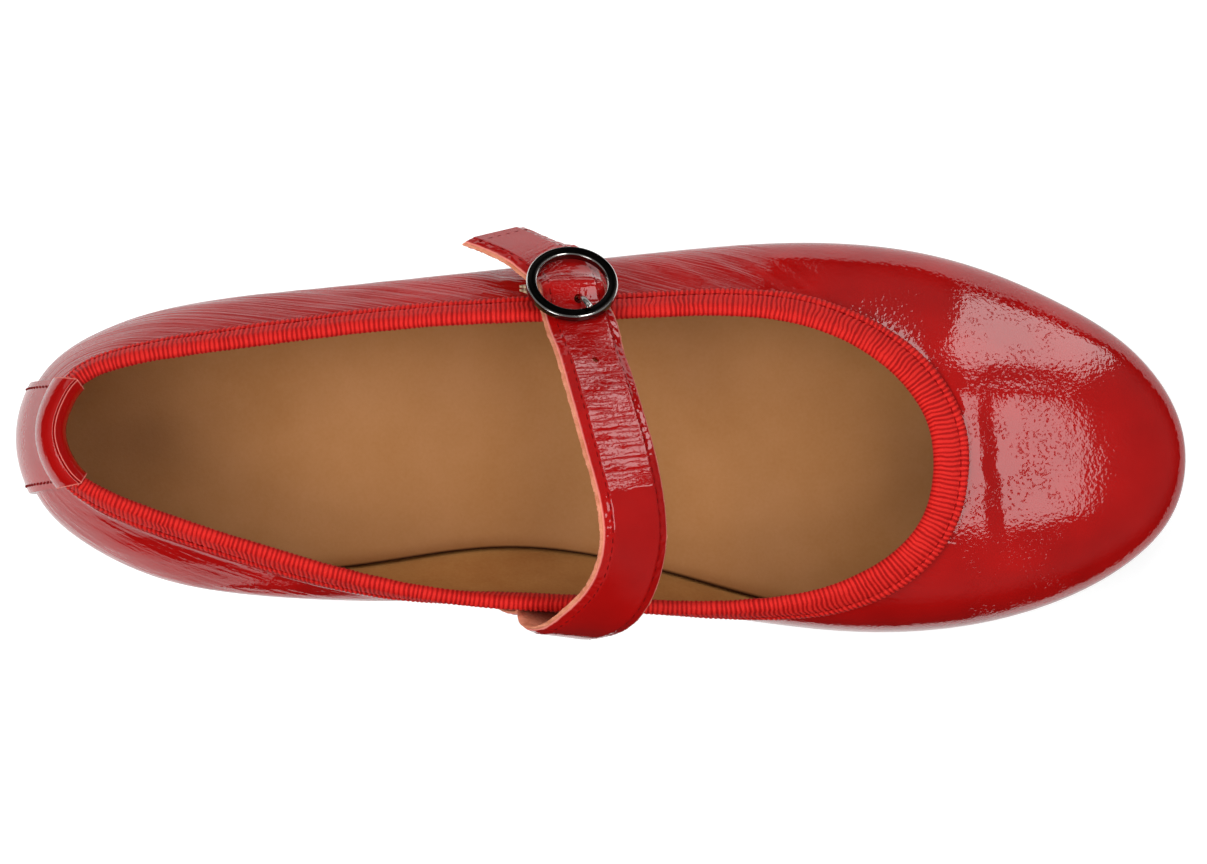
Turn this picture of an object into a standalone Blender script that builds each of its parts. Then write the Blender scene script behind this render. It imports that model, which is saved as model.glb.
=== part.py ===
"""Left ballet flat with an instep strap, size EU 38, built the way the real shoe is lasted.

Row frame: origin on the floor under the middle of the heel, +X to the toe, +Y to the outer
(lateral) side, +Z up. The shoe is drawn from the back of its heel, in millimetres, and each
finished piece is moved back by HEEL_REST_X and scaled to metres.
"""

import math
from functools import lru_cache

import bmesh
import bpy
import numpy as np

MM = 0.001
HEEL_REST_X = 30.0    # the origin's distance from the back of the heel
GAP = 0.35            # running gap between two curved pieces

# ---------------------------------------------------------------- driving sizes
WALL = 1.5            # patent leather and its lining together
LASTING_MARGIN = 6.0  # how far the upper is turned in under the foot
SOLE_THICK = 3.2
SOLE_LIP = 1.7        # the sole's edge stands this far past the feather line
SOLE_BEVEL = 0.8
HEEL_HEIGHT = 8.0
HEEL_BREAST_X = 58.0
HEEL_TAPER = 1.6
WAIST_BACK_X, WAIST_FRONT_X = 58.0, 152.0
SPRING_START_X, SHOE_END_X = 188.0, 256.0
TOE_SPRING = 7.0
INSOLE_TOP = 5.6      # height of the footbed above the sole's top face
INSOLE_EDGE_GAP = 0.8
RIBS = 72             # sections round the shoe; an even number, so that half is the toe

BINDING_WIDTH, BINDING_GAP = 6.2, 0.4
TAPE = 0.5            # grosgrain tape
BACKSTAY_WIDTH, BACKSTAY_THICK, BACKSTAY_OFF = 25.0, 0.9, 0.45
TAB_LENGTH, TAB_THICK, TAB_DROP = 26.0, 0.9, 9.0

STRAP_WIDTH_ROOT, STRAP_WIDTH, STRAP_THICK = 14.0, 15.2, 1.7
STRAP_PINCH, STRAP_CROWN = 0.7, 0.62   # each edge is drawn in and bent down inside the ring
BUCKLE_CENTRE = (121.4, 32.9, 43.0)
BUCKLE_TILT, BUCKLE_TURN = 37.0, 8.0   # degrees: down to the outside, and turned in plan
STRAP_SKEW = 13.0                      # degrees: strap's direction inside the ring
RING_OUTER, RING_INNER, RING_THICK = 9.95, 7.65, 1.8
BAR_RADIUS, BAR_DROP = 0.6, 3.45
PRONG_RADIUS = 0.5
ELASTIC_WIDTH, ELASTIC_THICK = 10.2, 0.7
ELASTIC_ROOT_ROW, ELASTIC_ROOT_DROP = 6.36, 8.4  # its foot on the wall, under the binding's edge
HOLE_RADIUS, HOLE_PITCH = 1.2, 17.2

# ---------------------------------------------------------------- the last
# One row for each section round the shoe: heel, outer side, toe, inner side.
#   out_x, out_y  outline seen from above      wide_z   height of the widest point
#   inset         feather line, in from the outline      full   how round the wall's foot is
#   col_x, col_y, col_z  edge of the collar    lean     wall's slope there, degrees from level
LAST_COLUMNS = ("out_x", "out_y", "wide_z", "inset", "full", "col_x", "col_y", "col_z", "lean")
LAST = (
    (1.6, 0.0, 27.0, 5.0, 0.52, 10.8, 0.3, 58.0, 80),
    (5.0, 12.3, 27.0, 5.0, 0.52, 12.7, 7.6, 57.2, 80),
    (14.5, 21.3, 26.4, 5.2, 0.52, 17.6, 13.4, 54.6, 80),
    (31.4, 28.0, 25.4, 5.4, 0.52, 30.0, 17.6, 50.0, 79),
    (53.0, 31.5, 24.4, 5.8, 0.50, 51.0, 20.9, 45.6, 78),
    (80.0, 34.4, 23.2, 6.2, 0.48, 78.5, 24.5, 42.4, 78),
    (106.0, 37.3, 22.0, 6.4, 0.48, 105.0, 26.5, 40.4, 77),
    (132.0, 40.2, 20.2, 6.0, 0.50, 131.0, 27.4, 39.0, 74),
    (152.0, 42.3, 18.4, 5.2, 0.52, 150.0, 28.1, 38.2, 68),
    (171.5, 43.4, 16.8, 4.8, 0.54, 166.5, 27.0, 37.8, 58),
    (192.0, 42.2, 15.8, 4.6, 0.55, 180.0, 22.8, 38.0, 45),
    (211.0, 37.7, 15.6, 4.6, 0.55, 189.5, 16.8, 38.6, 31),
    (228.5, 30.1, 16.2, 4.6, 0.55, 195.3, 10.8, 39.0, 21),
    (243.0, 20.8, 17.4, 4.6, 0.55, 198.8, 5.0, 39.2, 14),
    (252.6, 8.8, 18.6, 4.6, 0.55, 200.4, -0.6, 39.3, 12),
    (255.8, -3.6, 19.0, 4.6, 0.55, 200.8, -6.2, 39.3, 12),
    (253.2, -15.8, 18.6, 4.6, 0.55, 200.2, -11.9, 39.3, 12),
    (244.6, -26.0, 17.4, 4.6, 0.55, 198.2, -18.0, 39.1, 14),
    (230.0, -34.5, 16.2, 4.6, 0.55, 193.5, -24.4, 38.8, 20),
    (211.0, -40.2, 15.6, 4.8, 0.54, 185.6, -30.1, 38.3, 32),
    (190.5, -42.2, 16.2, 5.4, 0.52, 174.5, -34.6, 37.9, 52),
    (171.0, -41.1, 18.4, 7.0, 0.44, 161.5, -36.8, 37.9, 70),
    (152.0, -38.6, 22.4, 9.6, 0.34, 147.5, -37.5, 38.3, 84),
    (131.0, -36.4, 27.4, 13.0, 0.26, 130.0, -37.1, 39.2, 96),
    (106.0, -35.2, 30.0, 15.0, 0.22, 105.5, -36.3, 40.4, 99),
    (79.0, -35.4, 28.6, 12.2, 0.28, 78.5, -32.0, 42.6, 82),
    (53.0, -34.2, 26.6, 8.4, 0.40, 51.0, -24.2, 45.8, 78),
    (31.4, -30.4, 26.2, 6.2, 0.48, 30.0, -17.2, 50.2, 78),
    (14.5, -22.2, 26.6, 5.4, 0.52, 18.0, -11.8, 54.8, 80),
    (5.0, -12.5, 27.0, 5.0, 0.52, 13.0, -6.7, 57.2, 80),
)
ROWS = len(LAST)

# Strap: rows from the sewn root on the inner side up over the instep to the buckle.
# across_* is the direction over its width, from the edge near the heel to the edge near the toe.
STRAP_ROOT = (          # last row, distance below the collar, stand-off of the strap's middle
    (23.86, 17.4, 1.9),
    (23.74, 12.6, 2.0),
    (23.60, 7.8, 3.0),
)
STRAP_ROOT_ACROSS = (0.80, -0.05, -0.60)
STRAP_COLUMNS = ("x", "y", "z", "across_x", "across_y", "across_z")
STRAP = (
    (116.9, -41.5, 37.8, 0.82, -0.08, -0.57),
    (120.7, -42.3, 43.9, 0.86, -0.13, -0.50),
    (125.0, -40.6, 50.3, 0.88, -0.24, -0.43),
    (129.8, -36.8, 56.6, 0.87, -0.33, -0.41),
    (133.6, -29.6, 62.6, 0.90, -0.17, -0.42),
    (134.9, -21.5, 66.3, 0.91, -0.02, -0.42),
    (134.0, -13.0, 66.6, 0.92, 0.12, -0.39),
    (131.9, -4.0, 63.9, 0.92, 0.22, -0.35),
    (129.4, 5.0, 59.8, 0.91, 0.25, -0.42),
    (127.1, 13.0, 55.0, 0.88, 0.22, -0.46),
    (125.0, 19.6, 50.2, 0.90, 0.18, -0.45),
)
STRAP_IN_BUCKLE = (     # across and along the ring's strap line, height over the ring's mid plane
    (1.5, -9.8, -2.30),
    (1.0, -6.6, -2.40),
    (0.6, -3.6, -2.05),
    (0.1, 0.0, -0.10),
    (-0.1, 3.6, -2.05),
    (-0.7, 6.6, -3.10),
)
STRAP_TAIL = (
    (117.3, 37.9, 35.6, 0.89, 0.25, -0.34),
    (113.8, 39.9, 33.4, 0.82, 0.24, -0.50),
    (109.9, 42.0, 31.0, 0.76, 0.24, -0.60),
    (104.6, 44.3, 28.4, 0.74, 0.26, -0.62),
)
TAIL_SLANT = 3.0        # the strap's end is cut aslant, longer on the heel side

PRONG_SWING = 19.4      # degrees, about the middle of the ring, off the strap's line
PRONG_PATH = (          # along the prong, height over the ring's mid plane
    (1.42, -3.05),
    (1.1, -4.35),
    (0.0, -4.9),
    (-1.2, -4.35),
    (-2.1, -3.3),
    (-3.0, -2.0),
    (-3.9, -0.5),
    (-4.9, 0.7),
    (-6.4, 1.45),
    (-8.7, 1.78),
)

PATENT, GROSGRAIN, FOOTBED = "patent_leather", "grosgrain", "footbed_leather"
STRAP_LEATHER, RUBBER, METAL, WEBBING = "strap_leather", "rubber", "gunmetal", "elastic"
MATERIALS = {           # base colour, roughness, metallic
    PATENT: ((0.42, 0.008, 0.010), 0.12, 0.0),
    GROSGRAIN: ((0.60, 0.012, 0.014), 0.75, 0.0),
    FOOTBED: ((0.34, 0.17, 0.075), 0.55, 0.0),
    STRAP_LEATHER: ((0.40, 0.008, 0.010), 0.14, 0.0),
    RUBBER: ((0.045, 0.030, 0.022), 0.70, 0.0),
    METAL: ((0.12, 0.12, 0.13), 0.22, 1.0),
    WEBBING: ((0.50, 0.40, 0.28), 0.85, 0.0),
}


# ---------------------------------------------------------------- curves
def periodic_bends(rows):
    """Second derivatives of the smooth closed curve through rows at whole parameters."""
    count = len(rows)
    system = np.zeros((count, count))
    for i in range(count):
        system[i, i] = 4.0
        system[i, (i - 1) % count] += 1.0
        system[i, (i + 1) % count] += 1.0
    turn = np.roll(rows, -1, axis=0) - 2.0 * rows + np.roll(rows, 1, axis=0)
    return np.linalg.solve(system, 6.0 * turn)


LAST_ROWS = np.array(LAST, float)
LAST_BENDS = periodic_bends(LAST_ROWS)


def last_at(u):
    """The last's columns at row position u, as a dict."""
    i = int(math.floor(u)) % ROWS
    f = u - math.floor(u)
    j = (i + 1) % ROWS
    g = 1.0 - f
    row = g * LAST_ROWS[i] + f * LAST_ROWS[j]
    row = row + ((f**3 - f) * LAST_BENDS[j] + (g**3 - g) * LAST_BENDS[i]) / 6.0
    return dict(zip(LAST_COLUMNS, row))


def open_curve(points, params, wanted):
    """Natural cubic through points at the given parameters, read at the wanted ones."""
    points, params = np.asarray(points, float), np.asarray(params, float)
    count, h = len(points), np.diff(params)
    system, right = np.eye(count), np.zeros_like(points)
    for i in range(1, count - 1):
        system[i, i - 1 : i + 2] = h[i - 1], 2.0 * (h[i - 1] + h[i]), h[i]
        right[i] = 6.0 * ((points[i + 1] - points[i]) / h[i] - (points[i] - points[i - 1]) / h[i - 1])
    bends = np.linalg.solve(system, right)
    found = []
    for t in wanted:
        i = min(max(int(np.searchsorted(params, t)) - 1, 0), count - 2)
        f = (t - params[i]) / h[i]
        g = 1.0 - f
        curve = ((f**3 - f) * bends[i + 1] + (g**3 - g) * bends[i]) * h[i] ** 2 / 6.0
        found.append(g * points[i] + f * points[i + 1] + curve)
    return np.array(found)


def bezier(p0, p1, p2, p3, steps):
    t = np.linspace(0.0, 1.0, steps + 1)[:, None]
    s = 1.0 - t
    return s**3 * p0 + 3 * s**2 * t * p1 + 3 * s * t**2 * p2 + t**3 * p3


def unit(vector):
    return vector / np.linalg.norm(vector)


def smooth_step(t):
    t = min(max(t, 0.0), 1.0)
    return t * t * (3.0 - 2.0 * t)


# ---------------------------------------------------------------- sole line
def ground_line(x):
    """Height of the sole's under face: level at heel and ball, arched waist, toe spring."""
    waist = HEEL_HEIGHT * smooth_step((WAIST_FRONT_X - x) / (WAIST_FRONT_X - WAIST_BACK_X))
    spring = max(0.0, (x - SPRING_START_X) / (SHOE_END_X - SPRING_START_X))
    return waist + TOE_SPRING * spring**2


def sole_top(x):
    return ground_line(x) + SOLE_THICK


# ---------------------------------------------------------------- wall of the upper
def plan_normal(u, x_key, y_key):
    """Unit vector in plan, pointing into the shoe, square to the named closed curve."""
    a, b = last_at(u - 0.05), last_at(u + 0.05)
    along = unit(np.array([b[x_key] - a[x_key], b[y_key] - a[y_key]]))
    return np.array([along[1], -along[0], 0.0])


UP = np.array([0.0, 0.0, 1.0])


@lru_cache(maxsize=None)
def rib(u):
    """Outer face of the upper at row position u: points from collar to lasting margin,
    their distance from the collar, and that distance at the widest point and feather line."""
    row = last_at(u)
    inward = plan_normal(u, "out_x", "out_y")
    wide = np.array([row["out_x"], row["out_y"], row["wide_z"]])
    foot = wide + inward * row["inset"]
    foot[2] = sole_top(foot[0]) + GAP
    collar = np.array([row["col_x"], row["col_y"], row["col_z"]])
    lean = math.radians(row["lean"])
    rise = plan_normal(u, "col_x", "col_y") * math.cos(lean) + UP * math.sin(lean)
    reach = np.linalg.norm(collar - wide)
    crown = bezier(
        collar,
        collar - rise * 0.32 * reach,
        wide + UP * 0.46 * (collar[2] - wide[2]),
        wide,
        24,
    )
    drop = wide[2] - foot[2]
    skirt = bezier(
        wide,
        wide - UP * row["full"] * drop,
        foot - inward * row["full"] * row["inset"],
        foot,
        16,
    )
    margin = foot + inward * LASTING_MARGIN
    margin[2] = sole_top(margin[0]) + GAP
    points = np.vstack([crown, skirt[1:], margin[None, :]])
    run = np.concatenate([[0.0], np.cumsum(np.linalg.norm(np.diff(points, axis=0), axis=1))])
    return points, run, run[24], run[40]


def rib_point(u, below):
    """Point of the outer face, a distance below the collar; above it, straight on."""
    points, run, _, _ = rib(u)
    if below < 0.0:
        return points[0] + unit(points[0] - points[1]) * -below
    return np.array([np.interp(below, run, points[:, k]) for k in range(3)])


@lru_cache(maxsize=None)
def wall_frame(u, below):
    """(point, outward normal) of the outer face."""
    point = rib_point(u, below)
    along = rib_point(u + 0.04, below) - rib_point(u - 0.04, below)
    down = rib_point(u, max(below, 0.0) + 0.4) - rib_point(u, below - 0.4)
    return point, unit(np.cross(along, down))


def wall_point(u, below, off):
    """A point off the outer face: off is positive outside and negative inside."""
    point, normal = wall_frame(round(u, 6), round(below, 6))
    return point + normal * off


def row_positions(count=RIBS):
    return [ROWS * i / count for i in range(count)]


# ---------------------------------------------------------------- mesh helpers
def material(name):
    found = bpy.data.materials.get(name)
    if found:
        return found
    colour, rough, metal = MATERIALS[name]
    made = bpy.data.materials.new(name)
    made.use_nodes = True
    shader = made.node_tree.nodes["Principled BSDF"]
    shader.inputs["Base Color"].default_value = (*colour, 1.0)
    shader.inputs["Roughness"].default_value = rough
    shader.inputs["Metallic"].default_value = metal
    made.diffuse_color = (*colour, 1.0)
    return made


def add_object(name, mesh_builder, material_name):
    """Makes the named object; mesh_builder fills a bmesh in millimetres from the heel's back."""
    shape = bmesh.new()
    mesh_builder(shape)
    bmesh.ops.translate(shape, vec=(-HEEL_REST_X, 0.0, 0.0), verts=shape.verts)
    bmesh.ops.scale(shape, vec=(MM, MM, MM), verts=shape.verts)
    bmesh.ops.recalc_face_normals(shape, faces=shape.faces)
    mesh = bpy.data.meshes.new(name)
    shape.to_mesh(mesh)
    shape.free()
    mesh.shade_smooth()
    mesh.set_sharp_from_angle(angle=math.radians(40))
    made = bpy.data.objects.new(name, mesh)
    bpy.context.scene.collection.objects.link(made)
    made.data.materials.append(material(material_name))
    return made


def add_ring(shape, points):
    return [shape.verts.new(p) for p in points]


def bridge(shape, first, second, closed=True):
    """Quads between two rings with the same number of vertices."""
    count = len(first)
    for i in range(count if closed else count - 1):
        j = (i + 1) % count
        shape.faces.new((first[i], first[j], second[j], second[i]))


def loft(shape, sections, closed_path):
    """Skins closed sections; the path either closes on itself or is capped at both ends."""
    rings = [add_ring(shape, section) for section in sections]
    for first, second in zip(rings, rings[1:]):
        bridge(shape, first, second)
    if closed_path:
        bridge(shape, rings[-1], rings[0])
    else:
        shape.faces.new(rings[0])
        shape.faces.new(rings[-1])


def ladder_cap(shape, ring, height):
    """Fills a ring that runs heel, outer side, toe, inner side, with a spine down its middle."""
    half = len(ring) // 2
    spine = []
    for i in range(1, half):
        middle = (ring[i].co + ring[-i].co) / 2
        middle.z = height(middle.x)
        spine.append(shape.verts.new(middle))
    shape.faces.new((ring[0], ring[1], spine[0]))
    shape.faces.new((ring[0], spine[0], ring[-1]))
    for k in range(len(spine) - 1):
        i = k + 1
        shape.faces.new((ring[i], ring[i + 1], spine[k + 1], spine[k]))
        shape.faces.new((spine[k], spine[k + 1], ring[-i - 1], ring[-i]))
    shape.faces.new((ring[half - 1], ring[half], spine[-1]))
    shape.faces.new((spine[-1], ring[half], ring[half + 1]))


# ---------------------------------------------------------------- upper and its trims
CROWN_STEPS = (0.25, 0.5, 0.75, 1.0)
SKIRT_STEPS = (0.34, 0.67, 1.0)


def upper_section(u):
    """Closed section of the wall: outer face down to the margin, inner face back up."""
    _, run, wide, feather = rib(u)
    stations = [0.0, BINDING_WIDTH / 2, BINDING_WIDTH]
    stations += [BINDING_WIDTH + (wide - BINDING_WIDTH) * s for s in CROWN_STEPS]
    stations += [wide + (feather - wide) * s for s in SKIRT_STEPS]
    stations.append(run[-1])
    outer = [wall_point(u, d, 0.0) for d in stations]
    inner = [wall_point(u, d, -WALL) for d in stations]
    return outer + inner[::-1]


def build_upper(shape):
    loft(shape, [upper_section(u) for u in row_positions()], closed_path=True)


def folded_section(u, drop_out, drop_in, stand_off, thick):
    """Section of a tape folded over the collar, clear of the wall by stand_off."""
    inside = -WALL - stand_off
    outer_face = [
        (drop_out, stand_off + thick),
        (drop_out / 2, stand_off + thick),
        (0.2, stand_off + thick),
        (-stand_off - thick, -0.25 * WALL),
        (-stand_off - thick, -0.75 * WALL),
        (0.2, inside - thick),
        (drop_out / 2, inside - thick),
        (drop_in, inside - thick),
    ]
    inner_face = [
        (drop_in, inside),
        (drop_out / 2, inside),
        (0.0, inside),
        (-stand_off, -0.75 * WALL),
        (-stand_off, -0.25 * WALL),
        (0.0, stand_off),
        (drop_out / 2, stand_off),
        (drop_out, stand_off),
    ]
    return [wall_point(u, d, h) for d, h in outer_face + inner_face]


def build_binding(shape):
    sections = [
        folded_section(u, BINDING_WIDTH, BINDING_WIDTH - 0.6, BINDING_GAP, TAPE)
        for u in row_positions()
    ]
    loft(shape, sections, closed_path=True)


def across_heel(below, off, width, count):
    """Points on a level line round the heel, evenly spaced over a true width."""
    rows = np.linspace(-3.2, 3.2, 33)
    line = np.array([wall_point(u, below, off) for u in rows])
    run = np.concatenate([[0.0], np.cumsum(np.linalg.norm(np.diff(line, axis=0), axis=1))])
    run -= np.interp(0.0, rows, run)
    wanted = np.linspace(-width / 2, width / 2, count)
    return [wall_point(float(np.interp(w, run, rows)), below, off) for w in wanted]


def heel_strip(shape, stations, width, count=9):
    """Loft over the heel's width of a closed section given as (distance below collar, off)."""
    lines = [across_heel(d, h, width, count) for d, h in stations]
    loft(shape, [[line[k] for line in lines] for k in range(count)], closed_path=False)


def build_backstay(shape):
    low = rib(0.0)[3] - 2.6
    downs = np.linspace(BINDING_WIDTH + GAP + 0.2, low, 9)
    face = [(d, BACKSTAY_OFF + BACKSTAY_THICK) for d in downs]
    back = [(d, BACKSTAY_OFF) for d in downs[::-1]]
    heel_strip(shape, face + back, BACKSTAY_WIDTH)


def build_heel_tab(shape):
    under = BACKSTAY_OFF + BACKSTAY_THICK + GAP      # clears the backstay and the tape
    over = under + TAB_THICK
    inside = -WALL - BINDING_GAP - TAPE - GAP - 0.25
    top = BINDING_GAP + TAPE + GAP
    face = [(TAB_DROP, over), (4.5, over), (0.6, over), (-top - TAB_THICK, 0.1)]
    face += [(-top - TAB_THICK, -WALL - 0.1), (0.6, inside - TAB_THICK), (8.2, inside - TAB_THICK)]
    back = [(8.2, inside), (0.2, inside), (-top, -WALL + 0.1), (-top, 0.0), (0.2, under)]
    back += [(4.5, under), (TAB_DROP, under)]
    heel_strip(shape, face + back, TAB_LENGTH)


# ---------------------------------------------------------------- sole, heel and footbed
def feather_loop(offset, count=RIBS):
    """Feather line moved outwards in plan by offset, as x, y pairs."""
    loop = []
    for u in row_positions(count):
        row = last_at(u)
        inward = plan_normal(u, "out_x", "out_y")
        move = row["inset"] - offset
        loop.append((row["out_x"] + inward[0] * move, row["out_y"] + inward[1] * move))
    return loop


def build_outsole(shape):
    rings = []
    for offset, height in (
        (SOLE_LIP - 0.5, sole_top),
        (SOLE_LIP, lambda x: sole_top(x) - 0.6),
        (SOLE_LIP, lambda x: ground_line(x) + SOLE_BEVEL),
        (SOLE_LIP - SOLE_BEVEL, ground_line),
    ):
        loop = feather_loop(offset)
        rings.append(add_ring(shape, [(x, y, height(x)) for x, y in loop]))
    for first, second in zip(rings, rings[1:]):
        bridge(shape, first, second)
    ladder_cap(shape, rings[0], sole_top)
    ladder_cap(shape, rings[-1], ground_line)


def heel_loop(offset, height):
    """Outline of the heel block at one level, with a hollowed breast."""
    loop = feather_loop(offset, 2 * RIBS)
    widest = feather_loop(SOLE_LIP, 2 * RIBS)
    half = len(loop) // 2
    outer = [p for p, w in zip(loop[:half], widest) if w[0] < HEEL_BREAST_X - 2.0]
    inner = [p for p, w in zip(loop[half:], widest[half:]) if w[0] < HEEL_BREAST_X - 2.0]
    edge_out, edge_in = outer[-1][1], inner[0][1]
    breast = []
    for t in np.linspace(0.0, 1.0, 9):
        hollow = 3.0 * math.sin(math.pi * t)
        breast.append((HEEL_BREAST_X - hollow, edge_out + (edge_in - edge_out) * t))
    return [(x, y, height) for x, y in inner + outer + breast]


def build_heel(shape):
    rings = [
        add_ring(shape, heel_loop(SOLE_LIP - SOLE_BEVEL, HEEL_HEIGHT - GAP)),
        add_ring(shape, heel_loop(SOLE_LIP - SOLE_BEVEL - HEEL_TAPER, 0.6)),
        add_ring(shape, heel_loop(SOLE_LIP - SOLE_BEVEL - HEEL_TAPER - 0.6, 0.0)),
    ]
    for first, second in zip(rings, rings[1:]):
        bridge(shape, first, second)
    shape.faces.new(rings[0])
    shape.faces.new(rings[-1])


def inside_wall(u, lift, clearance):
    """Point inside the wall, at a height above the sole's top face, clear of the lining."""
    _, run, wide, feather = rib(u)
    downs = np.linspace(wide * 0.5, feather + 1.0, 28)
    line = np.array([wall_point(u, float(d), -WALL - clearance) for d in downs])
    over = np.array([p[2] - sole_top(p[0]) for p in line])
    where = float(np.interp(-lift, -over, downs))
    point = wall_point(u, where, -WALL - clearance)
    point[2] = sole_top(point[0]) + lift
    return point


def build_insole(shape):
    rest = GAP + WALL + GAP                  # on top of the lasting margin
    margin = feather_loop(-LASTING_MARGIN - 0.5)
    rings = [
        add_ring(shape, [inside_wall(u, INSOLE_TOP, INSOLE_EDGE_GAP) for u in row_positions()]),
        add_ring(shape, [inside_wall(u, rest + 0.9, INSOLE_EDGE_GAP) for u in row_positions()]),
        add_ring(shape, [(x, y, sole_top(x) + rest) for x, y in feather_loop(-0.8)]),
        add_ring(shape, [(x, y, sole_top(x) + rest) for x, y in margin]),
        add_ring(shape, [(x, y, sole_top(x) + GAP) for x, y in margin]),
    ]
    for first, second in zip(rings, rings[1:]):
        bridge(shape, first, second)
    ladder_cap(shape, rings[0], lambda x: sole_top(x) + INSOLE_TOP - 0.5)
    ladder_cap(shape, rings[-1], lambda x: sole_top(x) + GAP)


# ---------------------------------------------------------------- buckle and strap
def buckle_axes():
    """Across the strap, along it to the outside, and out of the ring."""
    tilt, turn, skew = (math.radians(a) for a in (BUCKLE_TILT, BUCKLE_TURN, STRAP_SKEW))
    hinge = np.array([math.cos(turn), -math.sin(turn), 0.0])
    normal = np.array([math.sin(tilt) * math.sin(turn), math.sin(tilt) * math.cos(turn), math.cos(tilt)])
    fall = np.cross(normal, hinge)
    along = fall * math.cos(skew) - hinge * math.sin(skew)
    return np.cross(along, normal), along, normal


def in_buckle(across, along, height):
    """Row-frame point from places in the buckle's own three directions."""
    axes = buckle_axes()
    return np.array(BUCKLE_CENTRE) + axes[0] * across + axes[1] * along + axes[2] * height


def in_prong(along, height):
    """Row-frame point on the prong's own line, swung in the ring's plane."""
    swing = math.radians(PRONG_SWING)
    return in_buckle(-along * math.sin(swing), along * math.cos(swing), height)


def strap_rows():
    """(centre, width direction) of every row from the root to the tail."""
    across_ring = buckle_axes()[0]
    rows = []
    for u, below, off in STRAP_ROOT:
        flat = wall_frame(u, below)[1]
        across = np.array(STRAP_ROOT_ACROSS)
        rows.append((wall_point(u, below, off), unit(across - flat * across.dot(flat))))
    rows += [(np.array(row[:3]), np.array(row[3:])) for row in STRAP]
    rows += [(in_buckle(*place), across_ring) for place in STRAP_IN_BUCKLE]
    rows += [(np.array(row[:3]), np.array(row[3:])) for row in STRAP_TAIL]
    return rows


def strap_stations(spacing=2.6):
    """Evenly spaced (centre, across, out, distance) along the strap."""
    rows = strap_rows()
    centres = np.array([centre for centre, _ in rows])
    widths = np.array([width for _, width in rows])
    steps = np.linalg.norm(np.diff(centres, axis=0), axis=1)
    params = np.concatenate([[0.0], np.cumsum(steps)])
    wanted = np.linspace(0.0, params[-1], int(params[-1] / spacing))
    line = open_curve(centres, params, wanted)
    across = open_curve(widths, params, wanted)
    tangents = np.gradient(line, axis=0)
    stations = []
    for centre, width, tangent, run in zip(line, across, tangents, wanted):
        tangent = unit(tangent)
        width = unit(width - tangent * width.dot(tangent))
        stations.append((centre, width, np.cross(width, tangent), tangent, run))
    return stations


def strap_shape(centre, run):
    """Half width there, and how far the edges bend down."""
    inside = math.exp(-((np.linalg.norm(centre - np.array(BUCKLE_CENTRE)) / 8.0) ** 2))
    wide = STRAP_WIDTH_ROOT + (STRAP_WIDTH - STRAP_WIDTH_ROOT) * smooth_step(run / 110.0)
    return wide / 2 - STRAP_PINCH * inside, STRAP_CROWN * inside


def strap_section(centre, across, out, tangent, run, total):
    """Rounded flat section; the cut end is slanted, its two edges moved along the strap."""
    half, crown = strap_shape(centre, run)
    slant = TAIL_SLANT * smooth_step((run - total + 12.0) / 12.0)
    thick = STRAP_THICK / 2
    profile = (
        (-half, 0.55 * thick),
        (-half + 0.7, thick),
        (-half * 0.45, thick),
        (half * 0.45, thick),
        (half - 0.7, thick),
        (half, 0.55 * thick),
        (half, -thick),
        (half * 0.45, -thick),
        (-half * 0.45, -thick),
        (-half, -thick),
    )
    return [
        centre + across * v + out * (h - crown * (v / half) ** 2) - tangent * slant * v / half
        for v, h in profile
    ]


def cut(target, cutter_builder, name):
    """Takes the shape that cutter_builder makes out of target."""
    cutter = add_object(name, cutter_builder, METAL)
    cutter.hide_render = True
    cutter.display_type = "WIRE"
    boolean = target.modifiers.new(name, "BOOLEAN")
    boolean.operation = "DIFFERENCE"
    boolean.solver = "EXACT"
    boolean.object = cutter


def rod(shape, start, end, radius, sides=8):
    """Straight round bar between two points."""
    axis = unit(end - start)
    side = unit(np.cross(axis, UP + np.array([0.3, 0.1, 0.0])))
    other = np.cross(axis, side)
    rings = []
    for centre in (start, end):
        turns = [2 * math.pi * k / sides for k in range(sides)]
        points = [centre + (side * math.cos(a) + other * math.sin(a)) * radius for a in turns]
        rings.append(add_ring(shape, points))
    bridge(shape, *rings)
    shape.faces.new(rings[0])
    shape.faces.new(rings[-1])


def build_strap(shape):
    stations = strap_stations()
    total = stations[-1][-1]
    sections = []
    for centre, across, out, tangent, run in stations:
        sections.append(strap_section(centre, across, out, tangent, run, total))
    loft(shape, sections, closed_path=False)


def prong_hole(shape):
    rod(shape, in_prong(-2.9, -4.6), in_prong(-4.3, 2.4), HOLE_RADIUS + 0.2, 9)


def spare_hole(shape):
    """The next hole of the strap, on the inner side of the buckle."""
    stations = strap_stations(0.5)
    in_ring = min(stations, key=lambda s: np.linalg.norm(s[0] - in_prong(-3.5, -2.0)))[-1]
    centre, _, out, _, _ = min(stations, key=lambda s: abs(s[-1] - in_ring + HOLE_PITCH))
    rod(shape, centre - out * 2.0, centre + out * 2.0, HOLE_RADIUS * 0.7, 9)


def ring_section(angle):
    """Domed section of the buckle's ring at one angle round it."""
    inner, outer, half = RING_INNER, RING_OUTER, RING_THICK / 2
    profile = (
        (inner, -half),
        (outer - 0.3, -half),
        (outer, -half + 0.4),
        (outer, half - 0.5),
        (outer - 0.5, half),
        (inner + 0.5, half),
        (inner, half - 0.5),
    )
    return [in_buckle(r * math.cos(angle), r * math.sin(angle), h) for r, h in profile]


def build_ring(shape, parts=32):
    loft(shape, [ring_section(2 * math.pi * k / parts) for k in range(parts)], closed_path=True)


def build_bar(shape):
    reach = RING_INNER + 1.3
    rod(shape, in_buckle(-reach, 0.0, -BAR_DROP), in_buckle(reach, 0.0, -BAR_DROP), BAR_RADIUS)


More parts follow.
